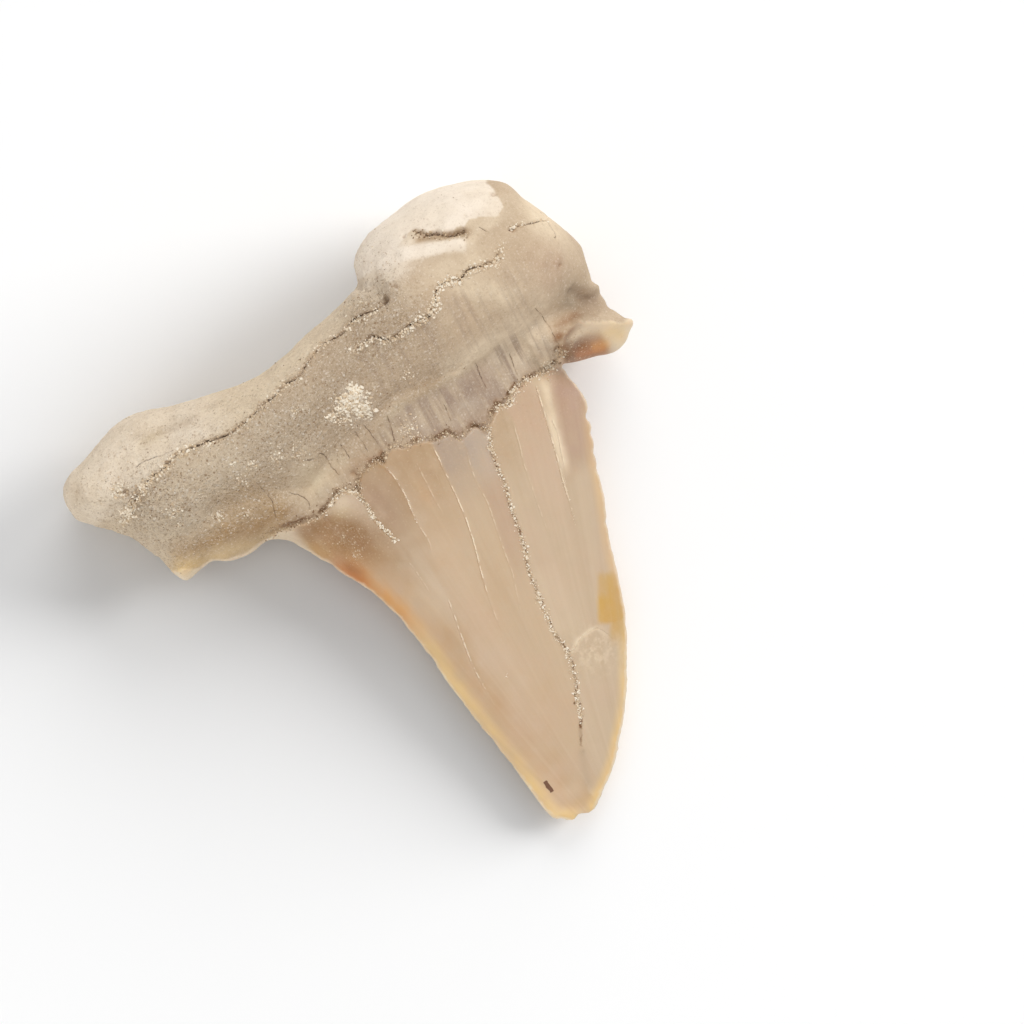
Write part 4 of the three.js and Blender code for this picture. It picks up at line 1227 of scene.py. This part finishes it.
# %% [markdown]
# ## Root dentine
#
# The root is bare bone-like dentine: matt, porous and full of fine sand. Its paint is broken up by clouds and
# speckle, the band gets its faint upright streaks, cracks are dark at the core, and painted shade darkens the inside
# of cracks, pits and pores. The same speckle lifts the surface a few hundredths of a millimetre through a bump, which
# catches the light on the scale of single grains.

# %% Material helpers
def new_material(name, **sockets):
    """A material, its shader with the constant sockets set, and a way to read the fields kept on the points."""
    material = bpy.data.materials.new(name)
    material.use_nodes = True
    tree = material.node_tree
    shader = tree.nodes["Principled BSDF"]
    for label, value in spaced(sockets).items():
        shader.inputs[label].default_value = value

    def field(name, output="Fac"):
        return add(tree, "Attribute", attribute_name=name).outputs[output]

    return material, shader, field


def relief(shader, height, depth):
    """A bump of the given depth in millimetres."""
    bump = add(shader.id_data, "Bump", {"Height": height, "Distance": depth * MM, "Strength": 1.0})
    join(shader, Normal=bump.outputs[0])


# %% Root dentine
dentine, shader, field = new_material("root dentine", Specular_IOR_Level=0.15)
sandiness = field("sandy")
grit = plus(times(sandiness, 0.85), 0.1)
ribs = dict(Length=9.0, Focus_X=0.0, Focus_Y=-400.0, Amount=field("ribbed"))
pale_and_dark = dict(Light="chalk", Dark="grit", Amount=grit)
core = dict(Side=field("crack_side"), Near=field("crack_near"), Half_Width=0.5, Raggedness=1.5)
foot = dict(Side=plus(field("enamel_side"), 0.2), Near=field("margin"), Half_Width=0.3, Raggedness=0.5)

colour = coat(field("paint", "Color"), clouds, Tint="bone", Size=4.0, Amount=0.22)
colour = coat(colour, clouds, Tint="clay", Size=1.6, Amount=plus(times(sandiness, 0.18), 0.08))
colour = coat(colour, streaks, Tint="dusk", Pitch=0.6, **ribs)
colour = coat(colour, streaks, Tint="fawn", Pitch=0.7, **ribs)
colour = coat(colour, speckle, Light="bone", Dark="taupe", Grain_Size=0.7, Amount=times(sandiness, 0.6))
coarse_grit = layer(colour, speckle, Grain_Size=0.26, **pale_and_dark)
fine_grit = layer(coarse_grit["Colour"], speckle, Grain_Size=0.14, **pale_and_dark)
# painted shade inside the cracks, pits and pores
colour = blend(times(field("hollow"), 0.35), fine_grit["Colour"], "umber")
colour = coat(colour, ragged_line, Line="soot", Gaps=0.8, **core)
colour = coat(colour, ragged_line, Line="bark", Gaps=0.55, **foot)
height = plus(coarse_grit["Height"], times(fine_grit["Height"], 0.6))
ends = {"Value": height, "From Min": -1.0, "From Max": 2.0, "To Min": 0.95, "To Max": 0.78}
join(shader, Base_Color=colour, Roughness=add(shader.id_data, "MapRange", ends).outputs[0])
relief(shader, times(height, grit), 0.06)

# %% [markdown]
# ## Enamel
#
# Enamel is glassy and a little translucent: light goes in, scatters in the warm layer below and comes out again
# nearby, which is what subsurface scattering does. Over the paint lie three scales of growth streaks that run
# together towards the tip, then the pale hairline cracks. A thin coat gives the polish, except where the surface is
# scuffed.

# %% Enamel
enamel_finish, shader, field = new_material(
    "enamel",
    Subsurface_Weight=0.15,
    Subsurface_Radius=(1.0, 0.6, 0.35),
    Subsurface_Scale=0.8 * MM,
    Coat_Roughness=0.25,
    Specular_IOR_Level=0.25,
)
on_crown, scuffed, silt_side = field("on_crown"), field("scuffed"), field("silt_side")
dusty = plus(times(field("grainy"), 0.6), plus(times(scuffed, 0.12), 0.03))
seam = dict(Near=field("silt_near"), Half_Width=0.08, Raggedness=0.14)
core = dict(Side=field("crack_side"), Near=field("crack_near"), Half_Width=0.5, Raggedness=1.3)

colour = field("paint", "Color")
colour = coat(colour, streaks, Tint="drab", Pitch=2.8, Length=40.0, Amount=times(on_crown, 0.14))
colour = coat(colour, streaks, Tint="cream", Pitch=1.3, Length=26.0, Amount=times(on_crown, 0.06))
hair = layer(colour, streaks, Tint="umber", Pitch=0.45, Length=18.0, Amount=times(on_crown, 0.012))
colour = coat(hair["Colour"], clouds, Tint="rose", Size=5.0, Amount=0.2)
colour = coat(colour, clouds, Tint="cream", Size=0.7, Amount=times(scuffed, 0.5))
dust = layer(colour, speckle, Light="cream", Dark="umber", Grain_Size=0.2, Amount=dusty)
shade = coat(dust["Colour"], ragged_line, Line="umber", Side=plus(silt_side, 0.09), Gaps=0.6, **seam)
colour = blend(0.5, dust["Colour"], shade)
silt = layer(colour, ragged_line, Line="silt", Side=silt_side, Gaps=1.0, **seam)
# painted shade inside the cracks, pits and pores
colour = blend(times(field("hollow"), 0.4), silt["Colour"], "clay")
colour = coat(colour, ragged_line, Line="walnut", Gaps=0.9, **core)
colour = blend(slope(field("spot"), 0.3, 0.55), colour, "seal")
worn = plus(times(scuffed, 0.3), times(silt["Mask"], 0.3))
join(shader, Base_Color=colour, Roughness=plus(worn, plus(hair["Mask"], 0.36)))
join(shader, Coat_Weight=times(minus(0.35, worn), 0.4))
relief(shader, plus(times(hair["Mask"], 1.5), times(dust["Height"], dusty)), 0.02)

# %% [markdown]
# ## Sand and floor
#
# Each grain has its own tone, kept on its points, and a ramp turns the tone into a colour from brown quartz to white
# chalk. The floor is white card: its colour is the same all over, so it is set on the shader itself.

# %% Sand
sand, shader, field = new_material("sand", Specular_IOR_Level=0.2)
ramp = add(shader.id_data, "ValToRGB", {0: field("tone")})
STOPS = {0.0: "quartz", 0.35: "taupe", 0.65: "shell", 1.0: "lime"}
while len(ramp.color_ramp.elements) < len(STOPS):
    ramp.color_ramp.elements.new(0.5)
for element, (at, tone) in zip(ramp.color_ramp.elements, STOPS.items()):
    element.position = at
    element.color = coloured(tone)
dust = layer(ramp.outputs[0], speckle, Light="chalk", Dark="clay", Grain_Size=0.12, Amount=0.25)
join(shader, Base_Color=dust["Colour"], Roughness=slope(dust["Height"], -4.0, 1.5))
relief(shader, dust["Height"], 0.015)

# %% Floor card
card, *_ = new_material("white card", Base_Color=(0.92, 0.92, 0.92, 1), Roughness=0.7)
floor.data.materials.append(card)

# %% Put the finishes on
tooth.data.materials.append(dentine)
tooth.data.materials.append(enamel_finish)
face_enamel = enamel[corners].mean(1) > 0.5
tooth.data.polygons.foreach_set("material_index", face_enamel.astype(np.int32))
tooth.data.polygons.foreach_set("use_smooth", np.ones(len(tooth.data.polygons), bool))
for piece in (crack_sand, root_crumbs):
    piece.data.materials.append(sand)
print("finishes:", [m.name for m in bpy.data.materials])

# %% [markdown]
# ## Handing over
#
# The modelled tooth takes the place of the plain solid from the construction model, and the sand rides with it. All
# three pieces join the collection that the key and fill lights shine on.

# %% Bodies
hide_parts("tooth")
for piece in (tooth, crack_sand, root_crumbs):
    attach(piece, "root")
    subject.objects.link(piece)
